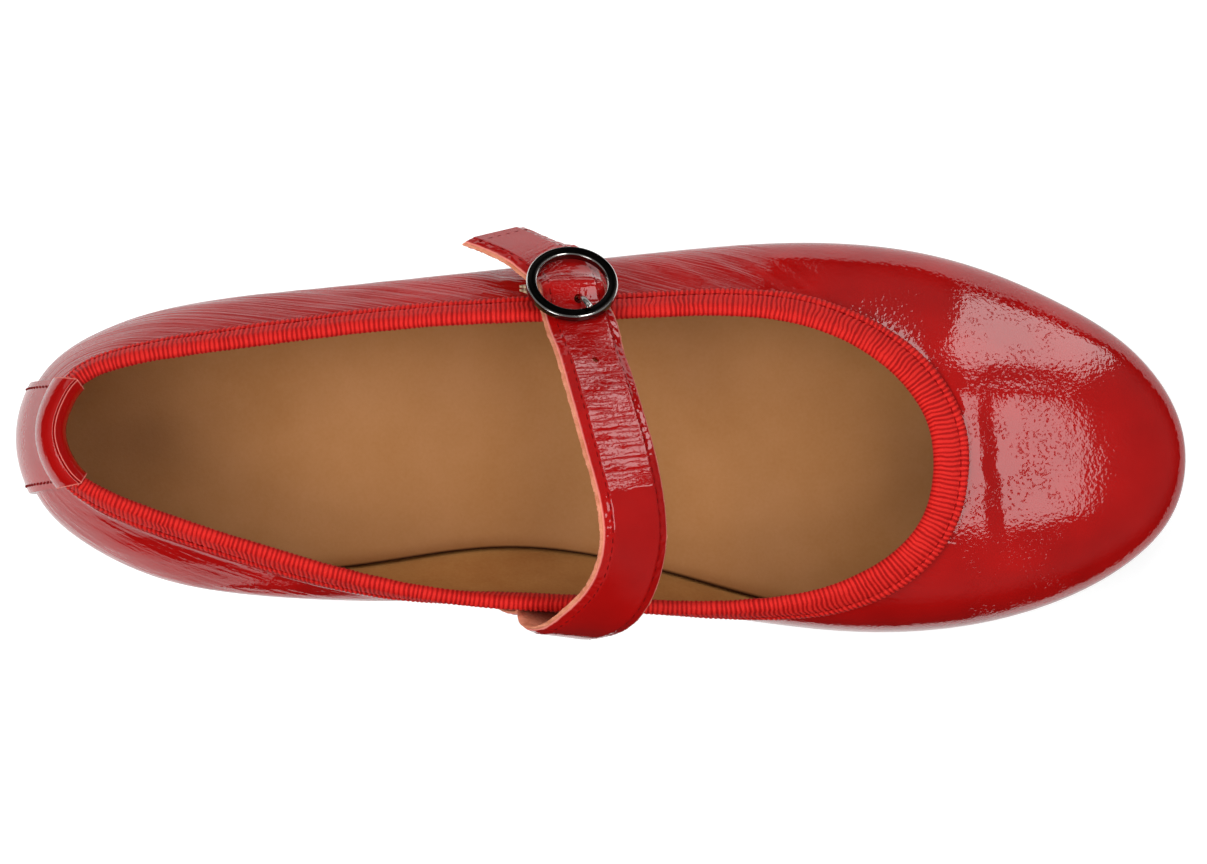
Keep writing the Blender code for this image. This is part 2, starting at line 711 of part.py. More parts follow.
def bar_post(side):
    def build(shape):
        across = side * (RING_INNER + 1.0)
        rod(shape, in_buckle(across, 0.0, -BAR_DROP - BAR_RADIUS), in_buckle(across, 0.0, 0.2), 0.75)

    return build


def join(target, builder, name):
    """Adds the shape that builder makes to target, as one solid."""
    piece = add_object(name, builder, METAL)
    piece.hide_render = True
    piece.display_type = "WIRE"
    boolean = target.modifiers.new(name, "BOOLEAN")
    boolean.operation = "UNION"
    boolean.solver = "EXACT"
    boolean.object = piece


def build_prong(shape, sides=8):
    rows = [in_prong(along, height) for along, height in PRONG_PATH]
    steps = np.linalg.norm(np.diff(rows, axis=0), axis=1)
    params = np.concatenate([[0.0], np.cumsum(steps)])
    line = open_curve(rows, params, np.linspace(0.0, params[-1], 22))
    across = unit(np.cross(in_prong(1.0, 0.0) - in_prong(0.0, 0.0), buckle_axes()[2]))
    sections = []
    for centre, tangent in zip(line, np.gradient(line, axis=0)):
        lift = np.cross(across, unit(tangent))
        turns = [2 * math.pi * k / sides for k in range(sides)]
        sections.append(
            [centre + (across * math.cos(a) + lift * math.sin(a)) * PRONG_RADIUS for a in turns]
        )
    loft(shape, sections, closed_path=False)


def build_elastic(shape):
    """Loop of webbing from the outer wall round the buckle's bar and back."""
    across, _, _ = buckle_axes()
    lower = GAP + 0.25 + ELASTIC_THICK / 2
    upper = lower + ELASTIC_THICK + GAP
    radius = BAR_RADIUS + 0.25 + ELASTIC_THICK / 2
    bar = in_buckle(0.0, 0.0, -BAR_DROP)
    low_root, high_root = (wall_point(ELASTIC_ROOT_ROW, ELASTIC_ROOT_DROP, h) for h in (lower, upper))
    pull = unit((low_root + high_root) / 2 - bar)
    pull = unit(pull - across * pull.dot(across))
    side = np.cross(across, pull)
    path = [high_root, (high_root + bar + side * radius) / 2]
    for a in np.linspace(0.0, math.pi, 9):
        path.append(bar + (side * math.cos(a) - pull * math.sin(a)) * radius)
    path += [(low_root + bar - side * radius) / 2, low_root]
    path = np.array(path)
    sections = []
    for centre, tangent in zip(path, np.gradient(path, axis=0)):
        out = unit(np.cross(across, unit(tangent))) * ELASTIC_THICK / 2
        wide = across * ELASTIC_WIDTH / 2
        sections.append([centre - wide - out, centre + wide - out, centre + wide + out, centre - wide + out])
    loft(shape, sections, closed_path=False)


def elastic_notch(shape):
    """Room for the prong's hook in the middle of the loop."""
    corners = []
    for along in (-3.0, 3.0):
        ring = [in_buckle(a, along, h) for a, h in ((-1.5, -6.2), (1.5, -6.2), (1.5, 0.5), (-1.5, 0.5))]
        corners.append(ring)
    loft(shape, corners, closed_path=False)


# ---------------------------------------------------------------- assembly
def clear_scene():
    for old in list(bpy.data.objects):
        bpy.data.objects.remove(old)


def main():
    clear_scene()
    add_object("outsole", build_outsole, RUBBER)
    add_object("heel", build_heel, RUBBER)
    add_object("insole", build_insole, FOOTBED)
    add_object("upper", build_upper, PATENT)
    add_object("collar_binding", build_binding, GROSGRAIN)
    add_object("backstay", build_backstay, PATENT)
    add_object("heel_tab", build_heel_tab, PATENT)
    strap = add_object("strap", build_strap, STRAP_LEATHER)
    strap.modifiers.new("flat_faces", "TRIANGULATE")    # its twisted quads, before the holes are cut
    cut(strap, prong_hole, "prong_hole_cutter")
    cut(strap, spare_hole, "spare_hole_cutter")
    ring = add_object("buckle_frame", build_ring, METAL)
    join(ring, build_bar, "buckle_bar")
    join(ring, bar_post(-1), "buckle_post_back")
    join(ring, bar_post(1), "buckle_post_front")
    add_object("buckle_prong", build_prong, METAL)
    elastic = add_object("buckle_elastic", build_elastic, WEBBING)
    cut(elastic, elastic_notch, "elastic_notch_cutter")


main()
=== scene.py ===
"""Looks of a left ballet flat with an instep strap: red patent, ribbed ribbon, tan footbed.

Sizes are millimetres from the back of the heel, +X to the toe, +Y to the outer side, +Z up, as
in the part's source. Every finished piece is moved back by HEEL_REST_X and scaled to metres.
"""

import math

import bpy
import numpy as np
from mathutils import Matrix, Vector


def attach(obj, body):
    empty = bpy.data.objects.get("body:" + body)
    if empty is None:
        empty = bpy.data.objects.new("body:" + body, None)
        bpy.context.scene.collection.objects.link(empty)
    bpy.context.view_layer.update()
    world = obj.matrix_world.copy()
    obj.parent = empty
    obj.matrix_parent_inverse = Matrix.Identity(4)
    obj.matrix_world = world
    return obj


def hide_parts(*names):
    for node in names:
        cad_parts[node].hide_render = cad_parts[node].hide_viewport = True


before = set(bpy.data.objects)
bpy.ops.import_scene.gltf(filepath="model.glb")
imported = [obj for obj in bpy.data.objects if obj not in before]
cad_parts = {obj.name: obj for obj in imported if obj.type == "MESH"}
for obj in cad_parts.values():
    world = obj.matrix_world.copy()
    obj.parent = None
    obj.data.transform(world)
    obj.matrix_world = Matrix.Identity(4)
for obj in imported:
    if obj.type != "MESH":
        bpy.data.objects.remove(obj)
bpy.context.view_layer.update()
bpy.ops.object.select_all(action="DESELECT")

# ---------------------------------------------------------------- sizes shared with the solids
MM = 0.001
HEEL_REST_X = 30.0
GAP = 0.35
WALL = 1.5
LASTING_MARGIN = 6.0
SOLE_THICK, SOLE_LIP = 3.2, 1.7
HEEL_HEIGHT, HEEL_BREAST_X, HEEL_TAPER = 8.0, 58.0, 1.6
WAIST_BACK_X, WAIST_FRONT_X = 58.0, 152.0
SPRING_START_X, SHOE_END_X = 188.0, 256.0
TOE_SPRING = 7.0
INSOLE_TOP = 5.6
BINDING_WIDTH = 6.2
STRAP_WIDTH_ROOT, STRAP_WIDTH, STRAP_THICK = 14.0, 15.2, 1.7
STRAP_PINCH, STRAP_CROWN = 0.7, 0.62
BUCKLE_CENTRE = (121.4, 32.9, 43.0)
BUCKLE_TILT, BUCKLE_TURN, STRAP_SKEW = 37.0, 8.0, 13.0
RING_OUTER, RING_INNER, RING_THICK = 9.95, 7.65, 1.8
BAR_RADIUS, BAR_DROP = 0.6, 3.45
ELASTIC_WIDTH, ELASTIC_THICK = 10.2, 0.7
ELASTIC_ROOT_ROW, ELASTIC_ROOT_DROP = 6.36, 8.4
HOLE_RADIUS, HOLE_PITCH = 1.2, 17.2
TAIL_SLANT = 3.0

# The last: one row for each section round the shoe, from the heel along the outer side.
LAST_COLUMNS = ("out_x", "out_y", "wide_z", "inset", "full", "col_x", "col_y", "col_z", "lean")
LAST = (
    (1.6, 0.0, 27.0, 5.0, 0.52, 10.8, 0.3, 58.0, 80),
    (5.0, 12.3, 27.0, 5.0, 0.52, 12.7, 7.6, 57.2, 80),
    (14.5, 21.3, 26.4, 5.2, 0.52, 17.6, 13.4, 54.6, 80),
    (31.4, 28.0, 25.4, 5.4, 0.52, 30.0, 17.6, 50.0, 79),
    (53.0, 31.5, 24.4, 5.8, 0.50, 51.0, 20.9, 45.6, 78),
    (80.0, 34.4, 23.2, 6.2, 0.48, 78.5, 24.5, 42.4, 78),
    (106.0, 37.3, 22.0, 6.4, 0.48, 105.0, 26.5, 40.4, 77),
    (132.0, 40.2, 20.2, 6.0, 0.50, 131.0, 27.4, 39.0, 74),
    (152.0, 42.3, 18.4, 5.2, 0.52, 150.0, 28.1, 38.2, 68),
    (171.5, 43.4, 16.8, 4.8, 0.54, 166.5, 27.0, 37.8, 58),
    (192.0, 42.2, 15.8, 4.6, 0.55, 180.0, 22.8, 38.0, 45),
    (211.0, 37.7, 15.6, 4.6, 0.55, 189.5, 16.8, 38.6, 31),
    (228.5, 30.1, 16.2, 4.6, 0.55, 195.3, 10.8, 39.0, 21),
    (243.0, 20.8, 17.4, 4.6, 0.55, 198.8, 5.0, 39.2, 14),
    (252.6, 8.8, 18.6, 4.6, 0.55, 200.4, -0.6, 39.3, 12),
    (255.8, -3.6, 19.0, 4.6, 0.55, 200.8, -6.2, 39.3, 12),
    (253.2, -15.8, 18.6, 4.6, 0.55, 200.2, -11.9, 39.3, 12),
    (244.6, -26.0, 17.4, 4.6, 0.55, 198.2, -18.0, 39.1, 14),
    (230.0, -34.5, 16.2, 4.6, 0.55, 193.5, -24.4, 38.8, 20),
    (211.0, -40.2, 15.6, 4.8, 0.54, 185.6, -30.1, 38.3, 32),
    (190.5, -42.2, 16.2, 5.4, 0.52, 174.5, -34.6, 37.9, 52),
    (171.0, -41.1, 18.4, 7.0, 0.44, 161.5, -36.8, 37.9, 70),
    (152.0, -38.6, 22.4, 9.6, 0.34, 147.5, -37.5, 38.3, 84),
    (131.0, -36.4, 27.4, 13.0, 0.26, 130.0, -37.1, 39.2, 96),
    (106.0, -35.2, 30.0, 15.0, 0.22, 105.5, -36.3, 40.4, 99),
    (79.0, -35.4, 28.6, 12.2, 0.28, 78.5, -32.0, 42.6, 82),
    (53.0, -34.2, 26.6, 8.4, 0.40, 51.0, -24.2, 45.8, 78),
    (31.4, -30.4, 26.2, 6.2, 0.48, 30.0, -17.2, 50.2, 78),
    (14.5, -22.2, 26.6, 5.4, 0.52, 18.0, -11.8, 54.8, 80),
    (5.0, -12.5, 27.0, 5.0, 0.52, 13.0, -6.7, 57.2, 80),
)
ROWS = len(LAST)

STRAP_ROOT = ((23.86, 17.4, 1.9), (23.74, 12.6, 2.0), (23.60, 7.8, 3.0))
STRAP_ROOT_ACROSS = (0.80, -0.05, -0.60)
STRAP = (
    (116.9, -41.5, 37.8, 0.82, -0.08, -0.57),
    (120.7, -42.3, 43.9, 0.86, -0.13, -0.50),
    (125.0, -40.6, 50.3, 0.88, -0.24, -0.43),
    (129.8, -36.8, 56.6, 0.87, -0.33, -0.41),
    (133.6, -29.6, 62.6, 0.90, -0.17, -0.42),
    (134.9, -21.5, 66.3, 0.91, -0.02, -0.42),
    (134.0, -13.0, 66.6, 0.92, 0.12, -0.39),
    (131.9, -4.0, 63.9, 0.92, 0.22, -0.35),
    (129.4, 5.0, 59.8, 0.91, 0.25, -0.42),
    (127.1, 13.0, 55.0, 0.88, 0.22, -0.46),
    (125.0, 19.6, 50.2, 0.90, 0.18, -0.45),
)
STRAP_IN_BUCKLE = (     # across and along the ring's strap line, height over its mid plane
    (1.5, -9.8, -2.30),
    (1.0, -6.6, -2.40),
    (0.6, -3.6, -2.05),
    (0.1, 0.0, -0.10),
    (-0.1, 3.6, -2.05),
    (-0.7, 6.6, -3.10),
)
STRAP_TAIL = (
    (117.3, 37.9, 35.6, 0.89, 0.25, -0.34),
    (113.8, 39.9, 33.4, 0.82, 0.24, -0.50),
    (109.9, 42.0, 31.0, 0.76, 0.24, -0.60),
    (104.6, 44.3, 28.4, 0.74, 0.26, -0.62),
)
PRONG_SWING = 19.4      # degrees, about the middle of the ring, off the strap's line
PRONG_PATH = (          # along the prong, height over the ring's mid plane
    (1.42, -3.05),
    (1.1, -4.35),
    (0.0, -4.9),
    (-1.2, -4.35),
    (-2.1, -3.3),
    (-3.0, -2.0),
    (-3.9, -0.5),
    (-4.9, 0.7),
    (-6.4, 1.45),
    (-8.7, 1.78),
)

# ---------------------------------------------------------------- sizes of the looks alone
RIB_PITCH = 1.05           # grosgrain ribs
RIB_DEPTH = 0.2
STITCH_LENGTH, STITCH_PITCH = 1.7, 2.3
BINDING_STITCH_IN = 1.7    # stitch line's distance from the ribbon's outer edge
STRAP_STITCH_IN = 2.0
STRAP_STEP = 0.25          # between the strap's sections
BACKSTAY_WIDTH, TAB_WIDTH = 25.0, 26.0
PEBBLE = 0.85              # size of the patent's pebble
PATENT_SKIN = 0.85         # patent leather alone; the lining makes up the rest of the wall
STREAK_SLANT = 2.4         # how far the outer quarter's streaks run forward as they drop by 1
VAMP_BEND_X = 209.3        # where the vamp bends across
CROWN, SKIRT = 120, 60     # points on a section above and below its widest point
WAVE_UNIT = 0.314          # a wave texture of this scale repeats once in a unit


UP = np.array([0.0, 0.0, 1.0])


# ---------------------------------------------------------------- curves
def periodic_bends(rows):
    """Second derivatives of the smooth closed curve through rows at whole parameters."""
    count = len(rows)
    system = 4.0 * np.eye(count) + np.roll(np.eye(count), 1, 0) + np.roll(np.eye(count), -1, 0)
    turn = np.roll(rows, -1, axis=0) - 2.0 * rows + np.roll(rows, 1, axis=0)
    return np.linalg.solve(system, 6.0 * turn)


LAST_ROWS = np.array(LAST, float)
LAST_BENDS = periodic_bends(LAST_ROWS)


def last_at(u):
    """The last's columns at row positions u, as a dict of arrays."""
    u = np.asarray(u, float)
    i = np.floor(u).astype(int) % ROWS
    j = (i + 1) % ROWS
    f = (u - np.floor(u))[..., None]
    g = 1.0 - f
    rows = g * LAST_ROWS[i] + f * LAST_ROWS[j]
    rows = rows + ((f**3 - f) * LAST_BENDS[j] + (g**3 - g) * LAST_BENDS[i]) / 6.0
    return {name: rows[..., k] for k, name in enumerate(LAST_COLUMNS)}


def open_curve(points, params, wanted):
    """Natural cubic through points at the given parameters, read at the wanted ones."""
    points, params = np.asarray(points, float), np.asarray(params, float)
    count, h = len(points), np.diff(params)
    system, right = np.eye(count), np.zeros_like(points)
    for i in range(1, count - 1):
        system[i, i - 1 : i + 2] = h[i - 1], 2.0 * (h[i - 1] + h[i]), h[i]
        right[i] = 6.0 * ((points[i + 1] - points[i]) / h[i] - (points[i] - points[i - 1]) / h[i - 1])
    bends = np.linalg.solve(system, right)
    i = np.clip(np.searchsorted(params, wanted) - 1, 0, count - 2)
    f = ((np.asarray(wanted) - params[i]) / h[i])[:, None]
    g = 1.0 - f
    curve = ((f**3 - f) * bends[i + 1] + (g**3 - g) * bends[i]) * (h[i] ** 2 / 6.0)[:, None]
    return g * points[i] + f * points[i + 1] + curve


def unit(vectors):
    """Vectors of length 1 along the last axis."""
    return vectors / np.linalg.norm(vectors, axis=-1, keepdims=True)


def smooth_step(t):
    """0 to 1 as t goes from 0 to 1, level at both ends."""
    t = np.clip(t, 0.0, 1.0)
    return t * t * (3.0 - 2.0 * t)


def bump_over(t, low, high, fade):
    """1 between low and high, fading to 0 over fade outside them."""
    return smooth_step((t - low) / fade + 1.0) * smooth_step((high - t) / fade + 1.0)


def run_length(points):
    """Distance along a line of points."""
    return np.concatenate([[0.0], np.cumsum(np.linalg.norm(np.diff(points, axis=0), axis=1))])


def lattice(seed, shape):
    """Fixed spread of numbers from -1 to 1."""
    return np.random.default_rng(seed).uniform(-1.0, 1.0, shape)


def soft_noise(a, b, seed, wrap=0):
    """Smooth value noise of two arrays, a unit apart; wrap closes it along a."""
    size = 256
    table = lattice(seed, (size, size))
    ia, ib = np.floor(a).astype(int), np.floor(b).astype(int)
    fa, fb = smooth_step(a - ia), smooth_step(b - ib)
    na = wrap if wrap else size
    a0, a1, b0, b1 = ia % na % size, (ia + 1) % na % size, ib % size, (ib + 1) % size
    low = table[a0, b0] * (1 - fa) + table[a1, b0] * fa
    high = table[a0, b1] * (1 - fa) + table[a1, b1] * fa
    return low * (1 - fb) + high * fb


# ---------------------------------------------------------------- the shoe's own surfaces
def ground_line(x):
    """Height of the sole's under face: level at heel and ball, arched waist, toe spring."""
    waist = HEEL_HEIGHT * smooth_step((WAIST_FRONT_X - x) / (WAIST_FRONT_X - WAIST_BACK_X))
    spring = np.maximum(0.0, (x - SPRING_START_X) / (SHOE_END_X - SPRING_START_X))
    return waist + TOE_SPRING * spring**2


def sole_top(x):
    """Height of the sole's top face."""
    return ground_line(x) + SOLE_THICK


def plan_inward(u, x_key, y_key):
    """Unit vectors in plan, pointing into the shoe, square to the named closed curve."""
    a, b = last_at(u - 0.05), last_at(u + 0.05)
    along = unit(np.stack([b[x_key] - a[x_key], b[y_key] - a[y_key]], axis=-1))
    return np.stack([along[..., 1], -along[..., 0], 0.0 * along[..., 0]], axis=-1)


def bezier(p0, p1, p2, p3, steps):
    """Cubic through many places at once: result is (places, steps + 1, 3)."""
    t = np.linspace(0.0, 1.0, steps + 1)[None, :, None]
    s = 1.0 - t
    p0, p1, p2, p3 = (p[:, None, :] for p in (p0, p1, p2, p3))
    return s**3 * p0 + 3 * s**2 * t * p1 + 3 * s * t**2 * p2 + t**3 * p3


def ribs(u):
    """Outer face of the upper at row positions u: points from collar to lasting margin, and
    the distance of each from the collar."""
    row = last_at(u)
    inward = plan_inward(u, "out_x", "out_y")
    wide = np.stack([row["out_x"], row["out_y"], row["wide_z"]], axis=-1)
    foot = wide + inward * row["inset"][:, None]
    foot[:, 2] = sole_top(foot[:, 0]) + GAP
    collar = np.stack([row["col_x"], row["col_y"], row["col_z"]], axis=-1)
    lean = np.radians(row["lean"])[:, None]
    rise = plan_inward(u, "col_x", "col_y") * np.cos(lean) + UP * np.sin(lean)
    reach = np.linalg.norm(collar - wide, axis=1)[:, None]
    full, inset = row["full"][:, None], row["inset"][:, None]
    height = (collar - wide)[:, 2:]
    drop = (wide - foot)[:, 2:]
    crown = bezier(collar, collar - rise * 0.32 * reach, wide + UP * 0.46 * height, wide, CROWN)
    skirt = bezier(wide, wide - UP * full * drop, foot - inward * full * inset, foot, SKIRT)
    margin = foot + inward * LASTING_MARGIN
    margin[:, 2] = sole_top(margin[:, 0]) + GAP
    points = np.concatenate([crown, skirt[:, 1:], margin[:, None, :]], axis=1)
    steps = np.linalg.norm(np.diff(points, axis=1), axis=2)
    run = np.concatenate([np.zeros((len(u), 1)), np.cumsum(steps, axis=1)], axis=1)
    return points, run


def on_ribs(u, below):
    """Points of the outer face at distances below the collar; above it, straight on."""
    points, run = ribs(u)
    below = np.broadcast_to(below, (len(u), np.shape(below)[-1]))
    found = np.empty(below.shape + (3,))
    for i in range(len(u)):
        for k in range(3):
            found[i, :, k] = np.interp(below[i], run[i], points[i, :, k])
        over = np.minimum(below[i], 0.0)[:, None]
        found[i] += unit(points[i, 1] - points[i, 0]) * over
    return found


def skin(u, below, off=0.0):
    """Points off the outer face and its outward normals, for u (n) and below (n, k) or (k)."""
    u = np.asarray(u, float)
    below = np.broadcast_to(below, (len(u), np.shape(below)[-1])).astype(float)
    along = on_ribs(u + 0.04, below) - on_ribs(u - 0.04, below)
    down = on_ribs(u, np.maximum(below, 0.0) + 0.4) - on_ribs(u, below - 0.4)
    normal = unit(np.cross(along, down))
    off = np.broadcast_to(off, below.shape)[..., None]
    return on_ribs(u, below) + normal * off, normal


def widest_run(u):
    """Distance from the collar to the widest point and to the feather line."""
    run = ribs(u)[1]
    return run[:, CROWN], run[:, CROWN + SKIRT]


def even_rows(count, below, off):
    """Row positions evenly spaced by true length round the shoe, at a line on the wall."""
    fine = np.linspace(0.0, ROWS, 1201)
    line = skin(fine, [below], off)[0][:, 0]
    run = run_length(line)
    return np.interp(np.arange(count) / count * run[-1], run, fine), run[-1]


# ---------------------------------------------------------------- pieces from primitives
def shaped(name, places, marks):
    """Gives the primitive just added its name, its shape and its marks, a number per point."""
    piece = bpy.context.active_object
    piece.name = piece.data.name = name
    places = (np.asarray(places, float) - [HEEL_REST_X, 0.0, 0.0]) * MM
    piece.data.vertices.foreach_set("co", places.astype(np.float32).ravel())
    for mark, values in marks.items():
        attribute = piece.data.attributes.new(mark, "FLOAT", "POINT")
        attribute.data.foreach_set("value", np.asarray(values, np.float32).ravel())
    piece.data.update()
    bpy.ops.object.shade_smooth()
    return piece


def face_out(piece):
    """Turns a closed piece's faces outwards if they point in."""
    mesh = piece.data
    mesh.calc_loop_triangles()
    corner = np.empty(len(mesh.loop_triangles) * 3, np.int32)
    mesh.loop_triangles.foreach_get("vertices", corner)
    place = np.empty(len(mesh.vertices) * 3, np.float32)
    mesh.vertices.foreach_get("co", place)
    tri = place.reshape(-1, 3)[corner.reshape(-1, 3)].astype(float)
    if np.einsum("ij,ij->i", tri[:, 0], np.cross(tri[:, 1], tri[:, 2])).sum() < 0.0:
        mesh.flip_normals()
    return piece


def start_points():
    """Vertex places of the primitive just added."""
    piece = bpy.context.active_object
    place = np.empty(len(piece.data.vertices) * 3, np.float32)
    piece.data.vertices.foreach_get("co", place)
    return place.reshape(-1, 3)


def closed_band(name, places, **marks):
    """Closed band: places is (round the band, round its section, 3)."""
    around, section = places.shape[:2]
    i = np.append(np.arange(around), 0)[:, None]
    j = np.append(np.arange(section), 0)[None, :]
    return face_out(from_grid(name, places[i, j], **{k: v[i, j] for k, v in marks.items()}))


def from_sphere(name, places, **marks):
    """Closed bar: places is (along the bar, round its section, 3); the two ends are closed."""
    along, section = places.shape[:2]
    bpy.ops.mesh.primitive_uv_sphere_add(segments=section, ring_count=along + 1)
    start = start_points()
    ring = np.rint(np.arccos(np.clip(start[:, 2], -1, 1)) * (along + 1) / math.pi).astype(int)
    turn = np.rint(np.arctan2(start[:, 1], start[:, 0]) * section / (2 * math.pi)).astype(int)
    inner = np.clip(ring - 1, 0, along - 1)
    pole = (ring == 0) | (ring == along + 1)
    found = np.where(pole[:, None], places.mean(axis=1)[inner], places[inner, turn % section])
    flat = {}
    for mark, values in marks.items():
        ends = values.mean(axis=1)[inner]
        flat[mark] = np.where(pole, ends, values[inner, turn % section])
    return face_out(shaped(name, found, flat))


def from_grid(name, places, **marks):
    """Open sheet: places is (rows, columns, 3). Rows that shrink to a point are closed up."""
    rows, columns = places.shape[:2]
    bpy.ops.mesh.primitive_grid_add(x_subdivisions=rows - 1, y_subdivisions=columns - 1, size=2)
    start = start_points()
    i = np.rint((start[:, 0] + 1) / 2 * (rows - 1)).astype(int)
    j = np.rint((start[:, 1] + 1) / 2 * (columns - 1)).astype(int)
    piece = shaped(name, places[i, j], {k: v[i, j] for k, v in marks.items()})
    bpy.ops.object.mode_set(mode="EDIT")
    bpy.ops.mesh.select_all(action="SELECT")
    bpy.ops.mesh.remove_doubles(threshold=2e-6)
    bpy.ops.object.mode_set(mode="OBJECT")
    return piece


def apply_modifier(piece, kind, **settings):
    """Adds a modifier with these settings and applies it."""
    bpy.ops.object.select_all(action="DESELECT")
    bpy.context.view_layer.objects.active = piece
    piece.select_set(True)
    modifier = piece.modifiers.new(kind.title(), kind)
    for key, value in settings.items():
        setattr(modifier, key, value)
    bpy.ops.object.modifier_apply(modifier=modifier.name)
    return piece


def smooth_by_angle(piece, degrees):
    """Shades smooth, with edges sharper than the angle left crisp."""
    bpy.ops.object.select_all(action="DESELECT")
    bpy.context.view_layer.objects.active = piece
    piece.select_set(True)
    bpy.ops.object.shade_smooth_by_angle(angle=math.radians(degrees))
    return piece


def dress(piece, material, slot, *nodes):
    """Material, ride and the solids that the piece stands for; the slot is not used."""
    piece.data.materials.clear()
    piece.data.materials.append(material)
    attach(piece, "root")
    if nodes:
        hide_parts(*nodes)
    bpy.ops.object.select_all(action="DESELECT")
    return piece


def sew(name, middles, along, out, material, slot, thread):
    """One stitch is modelled and copied along a seam: a short thread, sunk at both ends."""
    bpy.ops.mesh.primitive_uv_sphere_add(segments=6, ring_count=5, radius=1.0)
    stitch = bpy.context.active_object
    mesh = stitch.data
    base = start_points().astype(float)
    shape = base * [thread / 2, thread / 2, STITCH_LENGTH / 2]
    faces = [tuple(p.vertices) for p in mesh.polygons]
    bpy.data.objects.remove(stitch)
    along, out = unit(along), unit(out)
    side = unit(np.cross(along, out))
    places, quads = [], []
    for k in range(len(middles)):
        axes = np.stack([side[k], np.cross(side[k], along[k]) * -1.0, along[k]])
        first = k * len(shape)
        places.append(shape @ axes + middles[k])
        quads += [tuple(first + v for v in f) for f in faces]
    joined = bpy.data.meshes.new(name)
    places = (np.concatenate(places) - [HEEL_REST_X, 0.0, 0.0]) * MM
    joined.from_pydata(places.tolist(), [], quads)
    joined.update()
    seam = bpy.data.objects.new(name, joined)
    bpy.context.scene.collection.objects.link(seam)
    joined.shade_smooth()
    return dress(seam, material, slot)


# ---------------------------------------------------------------- materials
def linear(hex_colour):
    """sRGB hex to a linear colour."""
    parts = [int(hex_colour[k : k + 2], 16) / 255 for k in (1, 3, 5)]
    return (*[p / 12.92 if p <= 0.04045 else ((p + 0.055) / 1.055) ** 2.4 for p in parts], 1.0)


def add(tree, kind, inputs=(), out=0, **settings):
    """Adds a node with its settings, each input a value or another node's output, and gives
    back one of its outputs."""
    made = tree.nodes.new("ShaderNode" + kind)
    for key, value in settings.items():
        setattr(made, key, value)
    for key, value in dict(inputs).items():
        if isinstance(value, bpy.types.NodeSocket):
            tree.links.new(value, made.inputs[key])
        else:
            made.inputs[key].default_value = value
    return made.outputs[out]


def new_material(name, inputs):
    """A named material with these values on its shader's own sockets."""
    made = bpy.data.materials.new(name)
    made.use_nodes = True
    shader = made.node_tree.nodes["Principled BSDF"]
    for key, value in inputs.items():
        shader.inputs[key].default_value = value
    return made, made.node_tree, shader


def plug(shader, outputs):
    """Links outputs to the shader's sockets."""
    for key, output in outputs.items():
        shader.id_data.links.new(output, shader.inputs[key])


def set_ramp(output, *stops):
    """Stops for the colour ramp behind an output: (position, linear colour)."""
    points = output.node.color_ramp.elements
    while len(points) < len(stops):
        points.new(0.5)
    for point, (position, colour) in zip(points, stops):
        point.position, point.color = position, colour


def per(size_mm):
    """Texture scale that gives a pattern's features this size. A scale written as 2.6 / MM
    gives 2.6 of them to the millimetre."""
    return 1.0 / (size_mm * MM)


def wear_off(tree, lacquer, lost, where):
    """Lacquer less what is lost where a mark says so."""
    lost = add(tree, "Math", {0: lost, 1: where}, operation="MULTIPLY")
    return add(tree, "Math", {0: lacquer, 1: lost}, operation="SUBTRACT", use_clamp=True)


def streak(tree, spot, surface, lacquer, where):
    """Hair-fine streaks, about 1.7 mm apart and many times as long, where the leather was
    pulled over the last. The lacquer is thin in them."""
    flat = add(tree, "VectorMath", {0: spot, 1: (0.6, 0.06, 1.0)}, operation="MULTIPLY")
    wander = {"Scale": 1.0, "Detail": 2.0, "Distortion": 0.3}
    height = add(tree, "TexNoise", {"Vector": flat, **wander})
    surface = add(
        tree, "Bump", {"Height": height, "Strength": where, "Distance": 0.3 * MM, "Normal": surface}
    )
    thin = add(
        tree,
        "MapRange",
        {"Value": height, "From Min": 0.32, "From Max": 0.46, "To Min": 0.5, "To Max": 0.0},
    )
    return surface, wear_off(tree, lacquer, thin, where)


def crease_across(tree, spot, surface, lacquer, where, depth_mm):
    """Thin wavy creases that run most of the way across a strip, coarse ones and fine ones,
    with the lacquer cracked along their bottoms."""
    for pitch_mm, stretch, share in ((2.3, 0.35, 1.4), (1.2, 0.6, 0.55)):
        flat = add(tree, "VectorMath", {0: spot, 1: (1.0, stretch, 1.0)}, operation="MULTIPLY")
        wave = {"Scale": WAVE_UNIT / pitch_mm, "Distortion": 5.0, "Detail": 2.0, "Detail Scale": 2.2}
        bands = add(tree, "TexWave", {"Vector": flat, **wave}, out="Fac", bands_direction="X")
        ridge = add(
            tree, "MapRange", {"Value": bands, "From Max": 0.26}, interpolation_type="SMOOTHSTEP"
        )
        gaps = add(tree, "TexNoise", {"Vector": flat, "Scale": 0.55 / pitch_mm, "Detail": 1.0})
        amount = add(tree, "MapRange", {"Value": gaps, "From Min": 0.35, "From Max": 0.55})
        amount = add(tree, "Math", {0: amount, 1: where}, operation="MULTIPLY")
        cracked = add(
            tree, "MapRange", {"Value": bands, "From Max": 0.16, "To Min": 0.8, "To Max": 0.0}
        )
        lacquer = wear_off(tree, lacquer, cracked, amount)
        depth = depth_mm * share * MM
        surface = add(
            tree, "Bump", {"Height": ridge, "Strength": amount, "Distance": depth, "Normal": surface}
        )
    return surface, lacquer


